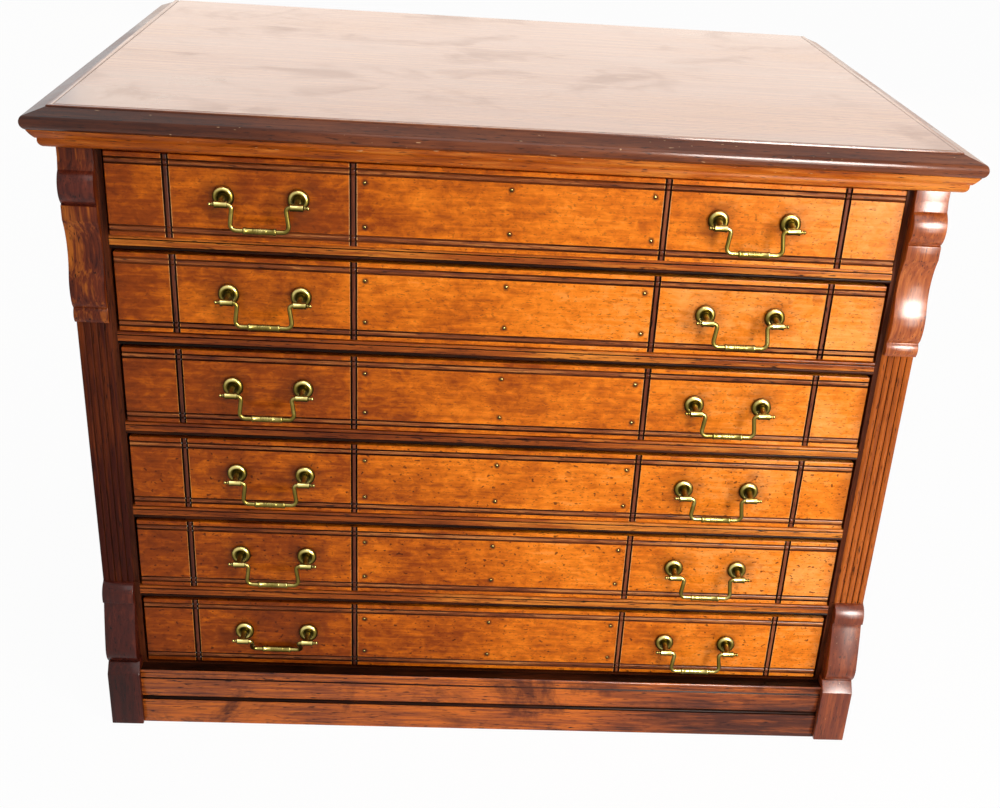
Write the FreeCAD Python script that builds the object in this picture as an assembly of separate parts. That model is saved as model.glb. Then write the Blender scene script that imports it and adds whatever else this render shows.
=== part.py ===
"""A six-drawer tabletop spool cabinet: panelled case, carved front, dovetailed drawers, bail pulls.

Millimetres. +X is to the right, +Y to the back, +Z up. The origin is on the floor, in the
middle of the cabinet's width and depth. "Forward" is the distance in front of the face,
the plane that the stiles, the rails and the closed drawers share.
"""
import FreeCAD
import Part
import math
import os

# Front frame
OPENING_WIDTH = 590.0
STILE_WIDTH = 30.0
STILE_THICK = 20.0
INNER_STRIP = 4.5
REED_COUNT = 5
REED_DEPTH = 1.2
REED_BEVEL = 1.1
RAIL_HEIGHT = 10.0
RAIL_TENON = 8.0
TENON_THICK = 8.0
RAIL_BEAD = 2.6
RAIL_BEAD_DEPTH = 0.9
RAIL_BEAD_BEVEL = 0.8

# Case
CASE_DEPTH = 548.0
SIDE_THICK = 12.0
SIDE_SETBACK = 2.0
SIDE_MEMBER = 58.0
SIDE_SILL = 6.0
PANEL_THICK = 6.0
PANEL_TONGUE = 6.0
PANEL_RECESS = 3.0
BACK_THICK = 8.0
BACK_RABBET = 6.0
BOTTOM_THICK = 10.0
HOUSING = 4.0

# Top and cornice; "out" is measured from the plinth line, a little inside the stile's outer edge
PLINTH_INSET = 4.2
TOP_THICK = 15.0
TOP_FLAT_OUT = 8.1
TOP_QUIRK = 1.2
NOSE_OUT = 24.0
NOSE_TOP_OUT = 22.3
NOSE_TOP_DROP = 5.6
NOSE_FOOT_OUT = 20.7
BACK_OVERHANG = 5.0
LINE_INSET = 4.3
LINE_WIDTH = 1.4
LINE_DEPTH = 0.8
CORNICE_HEIGHT = 12.6
CORNICE_FOOT_OUT = 11.5
OVOLO_OUT = 14.9
OVOLO_HEIGHT = 5.4
STEP_OUT = 15.9
STEP_UP = 6.4

# Upper bracket, from its top down
BRACKET_HEIGHT = 129.0
CAP_FORWARD = 7.3
CAP_FACE = 8.0
CAP_SLOPE = 8.0
CAP_FOOT_FORWARD = 9.5
ROLL_HEIGHT = 24.0
ROLL_FORWARD = 16.2
FILLET_FORWARD = 11.5
FILLET_HEIGHT = 11.0
HOLLOW_FORWARD = 4.9
HOLLOW_HEIGHT = 39.0
BELLY_FORWARD = 10.6
BELLY_HEIGHT = 25.0
ASTRAGAL_FORWARD = 7.0
ASTRAGAL_HEIGHT = 11.0

# Foot scroll, from its top down
FOOT_HEIGHT = 131.0
FOOT_ROLL_FORWARD = 9.5
FOOT_ROLL_HEIGHT = 16.0
FOOT_NECK_FORWARD = 6.0
FOOT_BELLY_FORWARD = 16.5
FOOT_NOTCH_FORWARD = 10.5
SHOE_HEIGHT = 59.0
SHOE_FORWARD = 19.0
SHOE_SLOPE = 9.0
SHOE_WIDER = 1.5

# Plinth
PLINTH_HEIGHT = 52.5
PLINTH_FORWARD = 14.2
PLINTH_BEAD = 3.0
PLINTH_GROOVE_FOOT = 22.7
PLINTH_GROOVE_WIDTH = 3.8
PLINTH_GROOVE_DEPTH = 2.2
PLINTH_BAND_FOOT = 29.0
PLINTH_BAND_TOP = 44.0
PLINTH_GAP = 2.5

# Drawers
DRAWER_COUNT = 6
DRAWER_HEIGHT = 60.0
GAP_ABOVE = 2.4
GAP_BELOW = 1.0
GAP_SIDE = 2.0
FRONT_THICK = 18.0
FRONT_LAP = 5.0
EDGE_STRIP = 3.2
BAND_WIDTH = 5.4
GROOVE_WIDTH = 1.5
GROOVE_DEPTH = 1.2
INNER_BAND_INSET = 177.7
OUTER_BAND_INSET = 43.2
DRAWER_SIDE_THICK = 10.0
DRAWER_SIDE_HEIGHT = 52.0
DRAWER_END_GAP = 25.0
DRAWER_BACK_THICK = 10.0
DRAWER_BACK_INSET = 10.0
BACK_DADO = 5.0
TRAY_THICK = 5.0
TRAY_RISE = 6.0
TRAY_GROOVE = 5.0
TAIL_COUNT = 3
TAIL_ROOT = 8.0
TAIL_FLARE = 2.0
TOP_DRAWER_PROUD = 5.0

# Runners
RUNNER_REACH = 36.0
RUNNER_CLEARANCE = 0.3
GUIDE_CLEARANCE = 0.5
GUIDE_HEIGHT = 20.0

# Bail pulls
PULL_INSET = 111.05
POST_SPACING = 54.3
POST_RISE = 32.0
ROSETTE_RADIUS = 7.75
ROSETTE_RIM = 1.8
ROSETTE_DOME = 2.2
ROSETTE_CROWN = 4.8
STEM_RADIUS = 2.9
EYE_RISE = 30.0
EYE_FORWARD = 15.5
EYE_RADIUS = 2.6
EYE_LENGTH = 9.5
EYE_CLEARANCE = 0.08
WIRE_RADIUS = 1.7
BAIL_DROP = 18.0
LEG_INBOARD = 8.0
LEG_FLARE_DEG = 7.8
SHOULDER_RADIUS = 2.9
KNEE_RADIUS = 4.3
GRIP_LENGTH = 23.0
GRIP_RADIUS = 2.7
GRIP_TAPER = 0.8
FINIAL_LENGTH = 4.75
FINIAL_NECK = 1.0
FINIAL_BALL = 1.6
ROSETTE_SIDES = 8
EYE_SIDES = 8
WIRE_SIDES = 5
SHOULDER_STEPS = 2
KNEE_STEPS = 2
PUSHED_BACK_DEG = 40.0

# Places that follow from the sizes above
HALF_OPENING = OPENING_WIDTH / 2
STILE_OUTER = HALF_OPENING + STILE_WIDTH
STILE_INNER = HALF_OPENING + INNER_STRIP
SIDE_OUTER = STILE_OUTER - SIDE_SETBACK
SIDE_INNER = SIDE_OUTER - SIDE_THICK
PLINTH_LINE = STILE_OUTER - PLINTH_INSET
PITCH = DRAWER_HEIGHT + GAP_ABOVE + RAIL_HEIGHT + GAP_BELOW
FIRST_DRAWER = PLINTH_HEIGHT + PLINTH_GAP
CORNICE_FOOT = FIRST_DRAWER + (DRAWER_COUNT - 1) * PITCH + DRAWER_HEIGHT + GAP_ABOVE
CORNICE_TOP = CORNICE_FOOT + CORNICE_HEIGHT
TOP_BACK = CASE_DEPTH + BACK_OVERHANG
FACE_Y = (NOSE_OUT - TOP_BACK) / 2
HALF_FRONT = HALF_OPENING - GAP_SIDE
DRAWER_LENGTH = CASE_DEPTH - BACK_THICK - DRAWER_END_GAP
INNER_BAND_X = HALF_FRONT - INNER_BAND_INSET
OUTER_BAND_X = HALF_FRONT - OUTER_BAND_INSET
PULL_X = HALF_FRONT - PULL_INSET
X_AXIS = FreeCAD.Vector(1, 0, 0)
Z_AXIS = FreeCAD.Vector(0, 0, 1)
ORIGIN = FreeCAD.Vector(0, 0, 0)


def drawer_foot(number):
    """Height of the lower edge of a drawer's front; drawer 1 is the top one."""
    return FIRST_DRAWER + (DRAWER_COUNT - number) * PITCH


def block(x_low, x_high, forward_low, forward_high, z_low, z_high):
    """Box between two forward distances."""
    corner = FreeCAD.Vector(x_low, FACE_Y - forward_high, z_low)
    return Part.makeBox(x_high - x_low, forward_high - forward_low, z_high - z_low, corner)


def closed_face(steps, place):
    """Face round a list of steps: a pair is a straight line's end, two pairs an arc's middle and end."""
    first = steps[0]
    here = first
    edges = []
    for step in steps[1:] + [first]:
        is_arc = isinstance(step[0], tuple)
        end = step[1] if is_arc else step
        if is_arc:
            edges.append(Part.Arc(place(*here), place(*step[0]), place(*end)).toShape())
        elif end != here:
            edges.append(Part.LineSegment(place(*here), place(*end)).toShape())
        here = end
    return Part.Face(Part.Wire(edges))


def side_profile(steps, x_low, x_high):
    """Moulding along X with an outline in (forward, up)."""
    def place(forward, up):
        return FreeCAD.Vector(x_low, FACE_Y - forward, up)
    return closed_face(steps, place).extrude(X_AXIS * (x_high - x_low))


def plan_profile(steps, z_low, z_high):
    """Upright moulding with an outline in (x, forward)."""
    def place(x, forward):
        return FreeCAD.Vector(x, FACE_Y - forward, z_low)
    return closed_face(steps, place).extrude(Z_AXIS * (z_high - z_low))


def mirrored(shape):
    return shape.mirror(ORIGIN, X_AXIS)


def both_sides(shape):
    """The shape and its mirror image, still separate solids."""
    return Part.makeCompound([shape, mirrored(shape)])


def joined(shapes):
    whole = shapes[0].multiFuse(shapes[1:]) if len(shapes) > 1 else shapes[0]
    return whole.removeSplitter()


def mitred_slab(steps, z_low, z_high, forward_back):
    """Slab whose front and two sides carry one moulding, given as steps (out, up) from its foot."""
    def shifted(step, offset):
        if isinstance(step[0], tuple):
            return tuple((out + offset, up) for out, up in step)
        return (step[0] + offset, step[1])

    reach = PLINTH_LINE + 2 * NOSE_OUT
    front_edge = [(forward_back, z_low)] + steps + [(forward_back, z_high)]
    along = side_profile(front_edge, 0.0, reach)

    def place(x, up):
        return FreeCAD.Vector(x, FACE_Y - 2 * NOSE_OUT, up)
    side_edge = [(0.0, z_low)] + [shifted(step, PLINTH_LINE) for step in steps] + [(0.0, z_high)]
    across = closed_face(side_edge, place).extrude(FreeCAD.Vector(0, 2 * NOSE_OUT - forward_back, 0))
    half = along.common(across)
    return joined([half, mirrored(half)])


def top_board():
    """Top with a bevelled, rounded nose on three edges and a fine line cut inside its flat."""
    foot = CORNICE_TOP
    head = foot + TOP_THICK
    nose_top = head - NOSE_TOP_DROP
    nose_middle = (foot + nose_top) / 2
    steps = [
        (NOSE_FOOT_OUT, foot),
        ((NOSE_OUT, nose_middle), (NOSE_TOP_OUT, nose_top)),
        (TOP_FLAT_OUT, head - TOP_QUIRK),
        (TOP_FLAT_OUT, head),
    ]
    slab = mitred_slab(steps, foot, head, -TOP_BACK)
    line_out = TOP_FLAT_OUT - LINE_INSET
    line_x = PLINTH_LINE + line_out
    half = LINE_WIDTH / 2
    front_line = [(line_out - half, head), (line_out, head - LINE_DEPTH), (line_out + half, head)]
    side_line = [(line_x - half, head), (line_x, head - LINE_DEPTH), (line_x + half, head)]

    def place(x, up):
        return FreeCAD.Vector(x, FACE_Y - line_out, up)
    run_back = FreeCAD.Vector(0, TOP_BACK + line_out, 0)
    side_cut = closed_face(side_line, place).extrude(run_back)
    front_cut = side_profile(front_line, -line_x, line_x)
    return slab.cut(joined([front_cut, side_cut, mirrored(side_cut)]))


def cornice():
    """Bed moulding under the top: a front length mitred to two returns."""
    foot = CORNICE_FOOT
    ovolo_middle = (OVOLO_OUT - 0.3 * (OVOLO_OUT - CORNICE_FOOT_OUT), foot + 0.3 * OVOLO_HEIGHT)
    chamfer_middle = ((STEP_OUT + NOSE_FOOT_OUT) / 2, foot + STEP_UP + (CORNICE_HEIGHT - STEP_UP) * 0.4)
    steps = [
        (CORNICE_FOOT_OUT, foot),
        (ovolo_middle, (OVOLO_OUT, foot + OVOLO_HEIGHT)),
        (OVOLO_OUT, foot + STEP_UP),
        (STEP_OUT, foot + STEP_UP),
        (chamfer_middle, (NOSE_FOOT_OUT, CORNICE_TOP)),
    ]
    slab = mitred_slab(steps, foot, CORNICE_TOP, -CASE_DEPTH)
    core = block(-SIDE_OUTER, SIDE_OUTER, -CASE_DEPTH, -STILE_THICK, foot, CORNICE_TOP)
    stile_core = block(-STILE_OUTER, STILE_OUTER, -STILE_THICK, 0.0, foot, CORNICE_TOP)
    ring = slab.cut(joined([core, stile_core]))
    reach = 2 * NOSE_OUT
    wedge = [
        (-PLINTH_LINE, 0.0),
        (PLINTH_LINE, 0.0),
        (PLINTH_LINE + reach, reach),
        (-PLINTH_LINE - reach, reach),
    ]
    front_region = plan_profile(wedge, foot, CORNICE_TOP)
    front = ring.common(front_region)
    returns = ring.cut(front_region)
    return Part.makeCompound(front.Solids + returns.Solids)


def stile():
    """Right front stile, reeded between the bracket and the foot."""
    reed_head = CORNICE_FOOT - BRACKET_HEIGHT
    reed = (STILE_OUTER - STILE_INNER) / REED_COUNT
    steps = [(HALF_OPENING, -STILE_THICK), (HALF_OPENING, 0.0), (STILE_INNER, 0.0), (STILE_INNER, -REED_DEPTH)]
    for index in range(REED_COUNT):
        left = STILE_INNER + index * reed
        right = left + reed
        steps += [(left + REED_BEVEL, 0.0), (right - REED_BEVEL, 0.0), (right, -REED_DEPTH)]
    steps.append((STILE_OUTER, -STILE_THICK))
    return joined([
        block(HALF_OPENING, STILE_OUTER, -STILE_THICK, 0.0, 0.0, FOOT_HEIGHT),
        plan_profile(steps, FOOT_HEIGHT, reed_head),
        block(HALF_OPENING, STILE_OUTER, -STILE_THICK, 0.0, reed_head, CORNICE_TOP),
    ])


def tenoned(beam, foot, head):
    """Cross rail with a tenon at each end."""
    reach = HALF_OPENING + RAIL_TENON
    tenon_back = -(STILE_THICK + TENON_THICK) / 2
    return joined([beam, block(-reach, reach, tenon_back, tenon_back + TENON_THICK, foot, head)])


def top_rail():
    """Rail behind the cornice, over the top drawer."""
    beam = block(-HALF_OPENING, HALF_OPENING, -STILE_THICK, 0.0, CORNICE_FOOT, CORNICE_TOP)
    return tenoned(beam, CORNICE_FOOT, CORNICE_TOP)


def divider_rail(number):
    """Rail under a drawer; its front edge is reeded with a broad bead between two fine ones."""
    head = drawer_foot(number) - GAP_BELOW
    foot = head - RAIL_HEIGHT
    valleys = [foot, foot + RAIL_BEAD, head - RAIL_BEAD, head]
    steps = [(-STILE_THICK, foot), (-RAIL_BEAD_DEPTH, foot)]
    for low, high in zip(valleys, valleys[1:]):
        steps += [(0.0, low + RAIL_BEAD_BEVEL), (0.0, high - RAIL_BEAD_BEVEL), (-RAIL_BEAD_DEPTH, high)]
    steps.append((-STILE_THICK, head))
    return tenoned(side_profile(steps, -HALF_OPENING, HALF_OPENING), foot, head)


def side_parts():
    """Right side: a frame with a housed panel, rabbeted for the back and housed for the bottom."""
    board = block(SIDE_INNER, SIDE_OUTER, -CASE_DEPTH, -STILE_THICK, 0.0, CORNICE_TOP)
    window_back = -CASE_DEPTH + SIDE_MEMBER
    window_front = -STILE_THICK - SIDE_MEMBER
    window_foot = PLINTH_HEIGHT + SIDE_SILL + PANEL_TONGUE
    window_head = CORNICE_TOP - SIDE_MEMBER
    window = block(SIDE_INNER, SIDE_OUTER, window_back, window_front, window_foot, window_head)
    panel_outer = SIDE_OUTER - PANEL_RECESS
    panel = block(
        panel_outer - PANEL_THICK, panel_outer,
        window_back - PANEL_TONGUE, window_front + PANEL_TONGUE,
        window_foot - PANEL_TONGUE, window_head + PANEL_TONGUE)
    frame = board.cut(joined([window, panel])).cut(back_panel()).cut(bottom_board())
    return frame, panel


def back_panel():
    """Back, let into the rabbets of the sides."""
    half = SIDE_INNER + BACK_RABBET
    foot = PLINTH_HEIGHT - BOTTOM_THICK
    return block(-half, half, -CASE_DEPTH, -CASE_DEPTH + BACK_THICK, foot, CORNICE_TOP)


def bottom_board():
    """Bottom, housed in the sides, with a tongue that reaches the face between the stiles."""
    foot = PLINTH_HEIGHT - BOTTOM_THICK
    half = SIDE_INNER + HOUSING
    wide = block(-half, half, -CASE_DEPTH + BACK_THICK, -STILE_THICK, foot, PLINTH_HEIGHT)
    front = block(-HALF_OPENING, HALF_OPENING, -STILE_THICK, 0.0, foot, PLINTH_HEIGHT)
    return joined([wide, front])


def runner(number):
    """Right runner under a drawer's side, with the guide that keeps the drawer straight."""
    carried = drawer_foot(number)
    foot = max(carried - GAP_BELOW - RAIL_HEIGHT, PLINTH_HEIGHT)
    head = carried - RUNNER_CLEARANCE
    guide_x = HALF_FRONT + GUIDE_CLEARANCE
    back = -CASE_DEPTH + BACK_THICK
    ledge = block(SIDE_INNER - RUNNER_REACH, SIDE_INNER, back, -STILE_THICK, foot, head)
    guide = block(guide_x, SIDE_INNER, back, -STILE_THICK, foot, carried + GUIDE_HEIGHT)
    return joined([ledge, guide])


def plinth():
    """Moulded base board between the feet."""
    groove_head = PLINTH_GROOVE_FOOT + PLINTH_GROOVE_WIDTH
    groove_middle = PLINTH_GROOVE_FOOT + PLINTH_GROOVE_WIDTH / 2
    inner = PLINTH_FORWARD - PLINTH_GROOVE_DEPTH
    bead_foot = PLINTH_HEIGHT - PLINTH_BEAD
    steps = [
        (0.0, 0.0),
        (PLINTH_FORWARD, 0.0),
        (PLINTH_FORWARD, PLINTH_GROOVE_FOOT),
        ((inner, groove_middle), (PLINTH_FORWARD - 1.0, groove_head)),
        (PLINTH_FORWARD - 1.0, PLINTH_BAND_FOOT),
        (PLINTH_FORWARD, PLINTH_BAND_FOOT),
        (PLINTH_FORWARD, PLINTH_BAND_TOP),
        (PLINTH_FORWARD - 1.0, PLINTH_BAND_TOP + 1.0),
        (PLINTH_FORWARD - 1.0, bead_foot),
        ((PLINTH_FORWARD, bead_foot + PLINTH_BEAD / 2), (PLINTH_FORWARD - 1.0, PLINTH_HEIGHT)),
        (0.0, PLINTH_HEIGHT),
    ]
    half = STILE_INNER - SHOE_WIDER
    return side_profile(steps, -half, half)


def upper_bracket():
    """Right carved bracket: cap, roll, fillet, long hollow into a belly, and an astragal."""
    head = CORNICE_FOOT
    cap_foot = head - CAP_FACE
    roll_head = cap_foot - CAP_SLOPE
    roll_foot = roll_head - ROLL_HEIGHT
    fillet_foot = roll_foot - FILLET_HEIGHT
    belly_head = fillet_foot - HOLLOW_HEIGHT
    belly_foot = belly_head - BELLY_HEIGHT
    foot = head - BRACKET_HEIGHT
    astragal_head = foot + ASTRAGAL_HEIGHT
    belly_edge = (HOLLOW_FORWARD + BELLY_FORWARD) / 2
    steps = [
        (0.0, head),
        (CAP_FORWARD, head),
        (CAP_FORWARD, cap_foot),
        (CAP_FOOT_FORWARD, roll_head),
        ((ROLL_FORWARD, (roll_head + roll_foot) / 2), (CAP_FOOT_FORWARD, roll_foot)),
        (FILLET_FORWARD, roll_foot - 1.0),
        (FILLET_FORWARD, fillet_foot),
        ((HOLLOW_FORWARD, fillet_foot - 0.58 * HOLLOW_HEIGHT), (belly_edge, belly_head)),
        ((BELLY_FORWARD, (belly_head + belly_foot) / 2), (belly_edge, belly_foot)),
        (HOLLOW_FORWARD, astragal_head),
        ((ASTRAGAL_FORWARD, foot + ASTRAGAL_HEIGHT / 2), (HOLLOW_FORWARD, foot)),
        (0.0, foot),
    ]
    return side_profile(steps, STILE_INNER, STILE_OUTER)


def foot_block():
    """Right foot: a roll, a belly that swells downwards, and a shoe on the floor."""
    roll_foot = FOOT_HEIGHT - FOOT_ROLL_HEIGHT
    roll_middle = (0.75 * FOOT_ROLL_FORWARD, FOOT_HEIGHT - 0.28 * FOOT_ROLL_HEIGHT)
    belly_head = roll_foot - 3.0
    belly_height = belly_head - SHOE_HEIGHT
    swell_middle = (0.55 * (FOOT_NECK_FORWARD + FOOT_BELLY_FORWARD), belly_head - 0.4 * belly_height)
    swell_foot = (FOOT_BELLY_FORWARD, SHOE_HEIGHT + 0.28 * belly_height)
    turn_middle = (0.93 * FOOT_BELLY_FORWARD, SHOE_HEIGHT + 0.11 * belly_height)
    scroll = side_profile([
        (0.0, FOOT_HEIGHT),
        (roll_middle, (FOOT_ROLL_FORWARD, roll_foot + 1.0)),
        (FOOT_ROLL_FORWARD, roll_foot),
        (FOOT_NECK_FORWARD, roll_foot - 1.0),
        (FOOT_NECK_FORWARD, belly_head),
        (swell_middle, swell_foot),
        (turn_middle, (FOOT_NOTCH_FORWARD, SHOE_HEIGHT)),
        (0.0, SHOE_HEIGHT),
    ], STILE_INNER, STILE_OUTER)
    shoe = side_profile([
        (0.0, 0.0),
        (SHOE_FORWARD, 0.0),
        (SHOE_FORWARD, SHOE_HEIGHT - SHOE_SLOPE),
        (FOOT_NOTCH_FORWARD, SHOE_HEIGHT),
        (0.0, SHOE_HEIGHT),
    ], STILE_INNER - SHOE_WIDER, STILE_OUTER)
    return joined([scroll, shoe])


def scratch_grooves(foot):
    """V grooves that frame the panels of a drawer front: pairs beside each raised band."""
    half = GROOVE_WIDTH / 2
    wide = half * (1 + 1 / GROOVE_DEPTH)
    first = EDGE_STRIP + half
    second = EDGE_STRIP + BAND_WIDTH - half
    cuts = []
    for height in (first, second, DRAWER_HEIGHT - second, DRAWER_HEIGHT - first):
        up = foot + height
        steps = [(1.0, up - wide), (-GROOVE_DEPTH, up), (1.0, up + wide)]
        cuts.append(side_profile(steps, -HALF_FRONT, HALF_FRONT))
    offset = BAND_WIDTH / 2 - half
    for band_x in (-OUTER_BAND_X, -INNER_BAND_X, INNER_BAND_X, OUTER_BAND_X):
        for x in (band_x - offset, band_x + offset):
            steps = [(x - wide, 1.0), (x, -GROOVE_DEPTH), (x + wide, 1.0)]
            cuts.append(plan_profile(steps, foot, foot + DRAWER_HEIGHT))
    return joined(cuts)


def dovetails(foot):
    """Tails of the right drawer side, which the front's lap hides."""
    root = -FRONT_THICK
    tip = -FRONT_LAP
    pitch = DRAWER_SIDE_HEIGHT / TAIL_COUNT
    tails = []
    for index in range(TAIL_COUNT):
        middle = foot + (index + 0.5) * pitch
        narrow = TAIL_ROOT / 2
        broad = narrow + TAIL_FLARE
        steps = [(root, middle - narrow), (tip, middle - broad), (tip, middle + broad), (root, middle + narrow)]
        tails.append(side_profile(steps, HALF_FRONT - DRAWER_SIDE_THICK, HALF_FRONT))
    return tails


def drawer_box(foot):
    """Front, sides, back and bottom of a closed drawer, each cut for the pieces that it holds."""
    inner = HALF_FRONT - DRAWER_SIDE_THICK
    side_head = foot + DRAWER_SIDE_HEIGHT
    tray_foot = foot + TRAY_RISE
    tray_head = tray_foot + TRAY_THICK
    tray = block(
        -inner - TRAY_GROOVE, inner + TRAY_GROOVE, -DRAWER_LENGTH, -FRONT_THICK + TRAY_GROOVE,
        tray_foot, tray_head)
    back_rear = -DRAWER_LENGTH + DRAWER_BACK_INSET
    back = block(
        -inner - BACK_DADO, inner + BACK_DADO, back_rear, back_rear + DRAWER_BACK_THICK,
        tray_head, side_head)
    board = block(inner, HALF_FRONT, -DRAWER_LENGTH, -FRONT_THICK, foot, side_head)
    side = joined([board] + dovetails(foot))
    front = block(-HALF_FRONT, HALF_FRONT, -FRONT_THICK, 0.0, foot, foot + DRAWER_HEIGHT)
    front = front.cut(scratch_grooves(foot))
    front = front.cut(Part.makeCompound([side, mirrored(side)])).cut(tray)
    side = side.cut(tray).cut(back)
    return {"front": front, "sides": both_sides(side), "back": back, "bottom": tray}


def polygon(centre, radius, normal, across, sides):
    """Closed ring of points round a centre; "across" is longer than a unit in a mitre."""
    square = normal.cross(across).normalize()
    points = []
    for index in range(sides):
        turn = 2 * math.pi * (index + 0.5) / sides
        points.append(centre + across * (radius * math.cos(turn)) + square * (radius * math.sin(turn)))
    return points + points[:1]


def faceted(rings):
    """Closed solid through rings of points whose sides are flat."""
    faces = [Part.Face(Part.makePolygon(rings[0])), Part.Face(Part.makePolygon(rings[-1]))]
    for near, far in zip(rings, rings[1:]):
        for index in range(len(near) - 1):
            corners = [near[index], near[index + 1], far[index + 1], far[index], near[index]]
            faces.append(Part.Face(Part.makePolygon(corners)))
    solid = Part.Solid(Part.Shell(faces))
    if solid.Volume < 0:
        solid.reverse()
    return solid


def pull_post(x, foot):
    """Post: a rosette on the drawer front and a stem that carries the bail's eye.

    The small hardware is many-sided rather than round, which keeps a dozen pulls light.
    """
    out = FreeCAD.Vector(0, -1, 0)
    rise = foot + POST_RISE
    eye = FreeCAD.Vector(x, FACE_Y - EYE_FORWARD, foot + EYE_RISE)

    def ring(radius, forward, up, sides):
        return polygon(FreeCAD.Vector(x, FACE_Y - forward, up), radius, out, X_AXIS, sides)

    ends = [eye - X_AXIS * (EYE_LENGTH / 2), eye + X_AXIS * (EYE_LENGTH / 2)]
    barrel = faceted([polygon(end, EYE_RADIUS, X_AXIS, Z_AXIS, EYE_SIDES) for end in ends])
    rosette = faceted([
        ring(ROSETTE_RADIUS, 0.0, rise, ROSETTE_SIDES),
        ring(ROSETTE_RADIUS, ROSETTE_RIM, rise, ROSETTE_SIDES),
        ring(ROSETTE_CROWN, ROSETTE_RIM + ROSETTE_DOME, rise, ROSETTE_SIDES),
    ])
    stem = faceted([
        ring(STEM_RADIUS, ROSETTE_RIM, rise, WIRE_SIDES),
        ring(STEM_RADIUS * 0.8, EYE_FORWARD, eye.z, WIRE_SIDES),
    ])
    return joined([rosette, stem, barrel]).cut(eye_hole(x, foot + EYE_RISE))


def eye_hole(x, rise):
    """Hole of a post's eye: a round seat under the wire, and flats that clear it all round."""
    radius = WIRE_RADIUS + EYE_CLEARANCE
    side = 2 * math.pi / EYE_SIDES
    down = -math.pi / 2

    def place(angle, reach):
        return (EYE_FORWARD + reach * math.cos(angle), rise + reach * math.sin(angle))
    steps = [place(down - side, radius), (place(down, radius), place(down + side, radius))]
    for index in range(EYE_SIDES - 2):
        steps.append(place(down + side * (index + 1.5), radius / math.cos(side / 2)))
    return side_profile(steps, x - EYE_LENGTH, x + EYE_LENGTH)


def bail_path():
    """Half of the bail from its finial to the grip: (x from the pull's middle, up, radius)."""
    eye_x = POST_SPACING / 2
    barrel_end = eye_x + EYE_LENGTH / 2
    path = [
        (barrel_end + FINIAL_LENGTH, 0.0, FINIAL_NECK * 0.8),
        (barrel_end + 0.7 * FINIAL_LENGTH, 0.0, FINIAL_BALL),
        (barrel_end + 0.35 * FINIAL_LENGTH, 0.0, FINIAL_NECK),
        (barrel_end + 0.2, 0.0, WIRE_RADIUS),
    ]
    flare = math.radians(LEG_FLARE_DEG)
    turn = math.pi / 2 + flare
    leg = (math.sin(flare), -math.cos(flare))
    corner = (eye_x - LEG_INBOARD, 0.0)
    drop = BAIL_DROP / math.cos(flare)
    knee = (corner[0] + leg[0] * drop, -BAIL_DROP)
    path += bend((-1.0, 0.0), corner, leg, turn, SHOULDER_RADIUS, SHOULDER_STEPS)
    path += bend(leg, knee, (-1.0, 0.0), turn, KNEE_RADIUS, KNEE_STEPS)
    path += [
        (GRIP_LENGTH / 2 + GRIP_TAPER, -BAIL_DROP, WIRE_RADIUS),
        (GRIP_LENGTH / 2, -BAIL_DROP, GRIP_RADIUS),
    ]
    return path


def bend(arriving, corner, leaving, turn, radius, bend_steps):
    """Points of the round bend where two straight stretches of wire would meet."""
    tangent = radius * math.tan(turn / 2)
    start = (corner[0] - arriving[0] * tangent, corner[1] - arriving[1] * tangent)
    inward = (leaving[0] - arriving[0] * math.cos(turn), leaving[1] - arriving[1] * math.cos(turn))
    length = math.hypot(*inward)
    inward = (inward[0] / length, inward[1] / length)
    points = []
    for index in range(bend_steps + 1):
        angle = turn * index / bend_steps
        ahead = radius * math.sin(angle)
        aside = radius * (1 - math.cos(angle))
        x = start[0] + arriving[0] * ahead + inward[0] * aside
        up = start[1] + arriving[1] * ahead + inward[1] * aside
        points.append((x, up, WIRE_RADIUS))
    return points


def bail(pull_x, foot, pushed_back):
    """Bail hanging from its two eyes, or pushed back towards the drawer front."""
    half = bail_path()
    path = half + [(-x, up, radius) for x, up, radius in reversed(half)]
    eye = FreeCAD.Vector(pull_x, FACE_Y - EYE_FORWARD, foot + EYE_RISE)
    rings = []
    for index, (x, up, radius) in enumerate(path):
        before = path[max(index - 1, 0)]
        after = path[min(index + 1, len(path) - 1)]
        arrive = FreeCAD.Vector(x - before[0], 0, up - before[1])
        leave = FreeCAD.Vector(after[0] - x, 0, after[1] - up)
        arrive = arrive.normalize() if arrive.Length > 0 else leave.normalize()
        leave = leave.normalize() if leave.Length > 0 else arrive
        along = (arrive + leave).normalize()
        stretch = 1 / along.dot(arrive)
        across = along.cross(FreeCAD.Vector(0, 1, 0)) * stretch
        rings.append(polygon(eye + FreeCAD.Vector(x, 0, up), radius, along, across, WIRE_SIDES))
    shape = faceted(rings)
    shape.rotate(eye, X_AXIS, pushed_back)
    return shape


def pulls(foot, left_pushed_back):
    """Posts and the two bails of one drawer."""
    posts = []
    for pull_x in (-PULL_X, PULL_X):
        for offset in (-POST_SPACING / 2, POST_SPACING / 2):
            posts.append(pull_post(pull_x + offset, foot))
    return {
        "pull_posts": Part.makeCompound(posts),
        "bail_left": bail(-PULL_X, foot, left_pushed_back),
        "bail_right": bail(PULL_X, foot, 0.0),
    }


def drawer(number):
    """All nodes of one drawer; the top one stands a little open."""
    foot = drawer_foot(number)
    pieces = drawer_box(foot)
    pieces.update(pulls(foot, PUSHED_BACK_DEG if number == DRAWER_COUNT else 0.0))
    proud = TOP_DRAWER_PROUD if number == 1 else 0.0
    for shape in pieces.values():
        shape.translate(FreeCAD.Vector(0, -proud, 0))
    return {f"drawer_{number}_{name}": shape for name, shape in pieces.items()}


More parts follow.
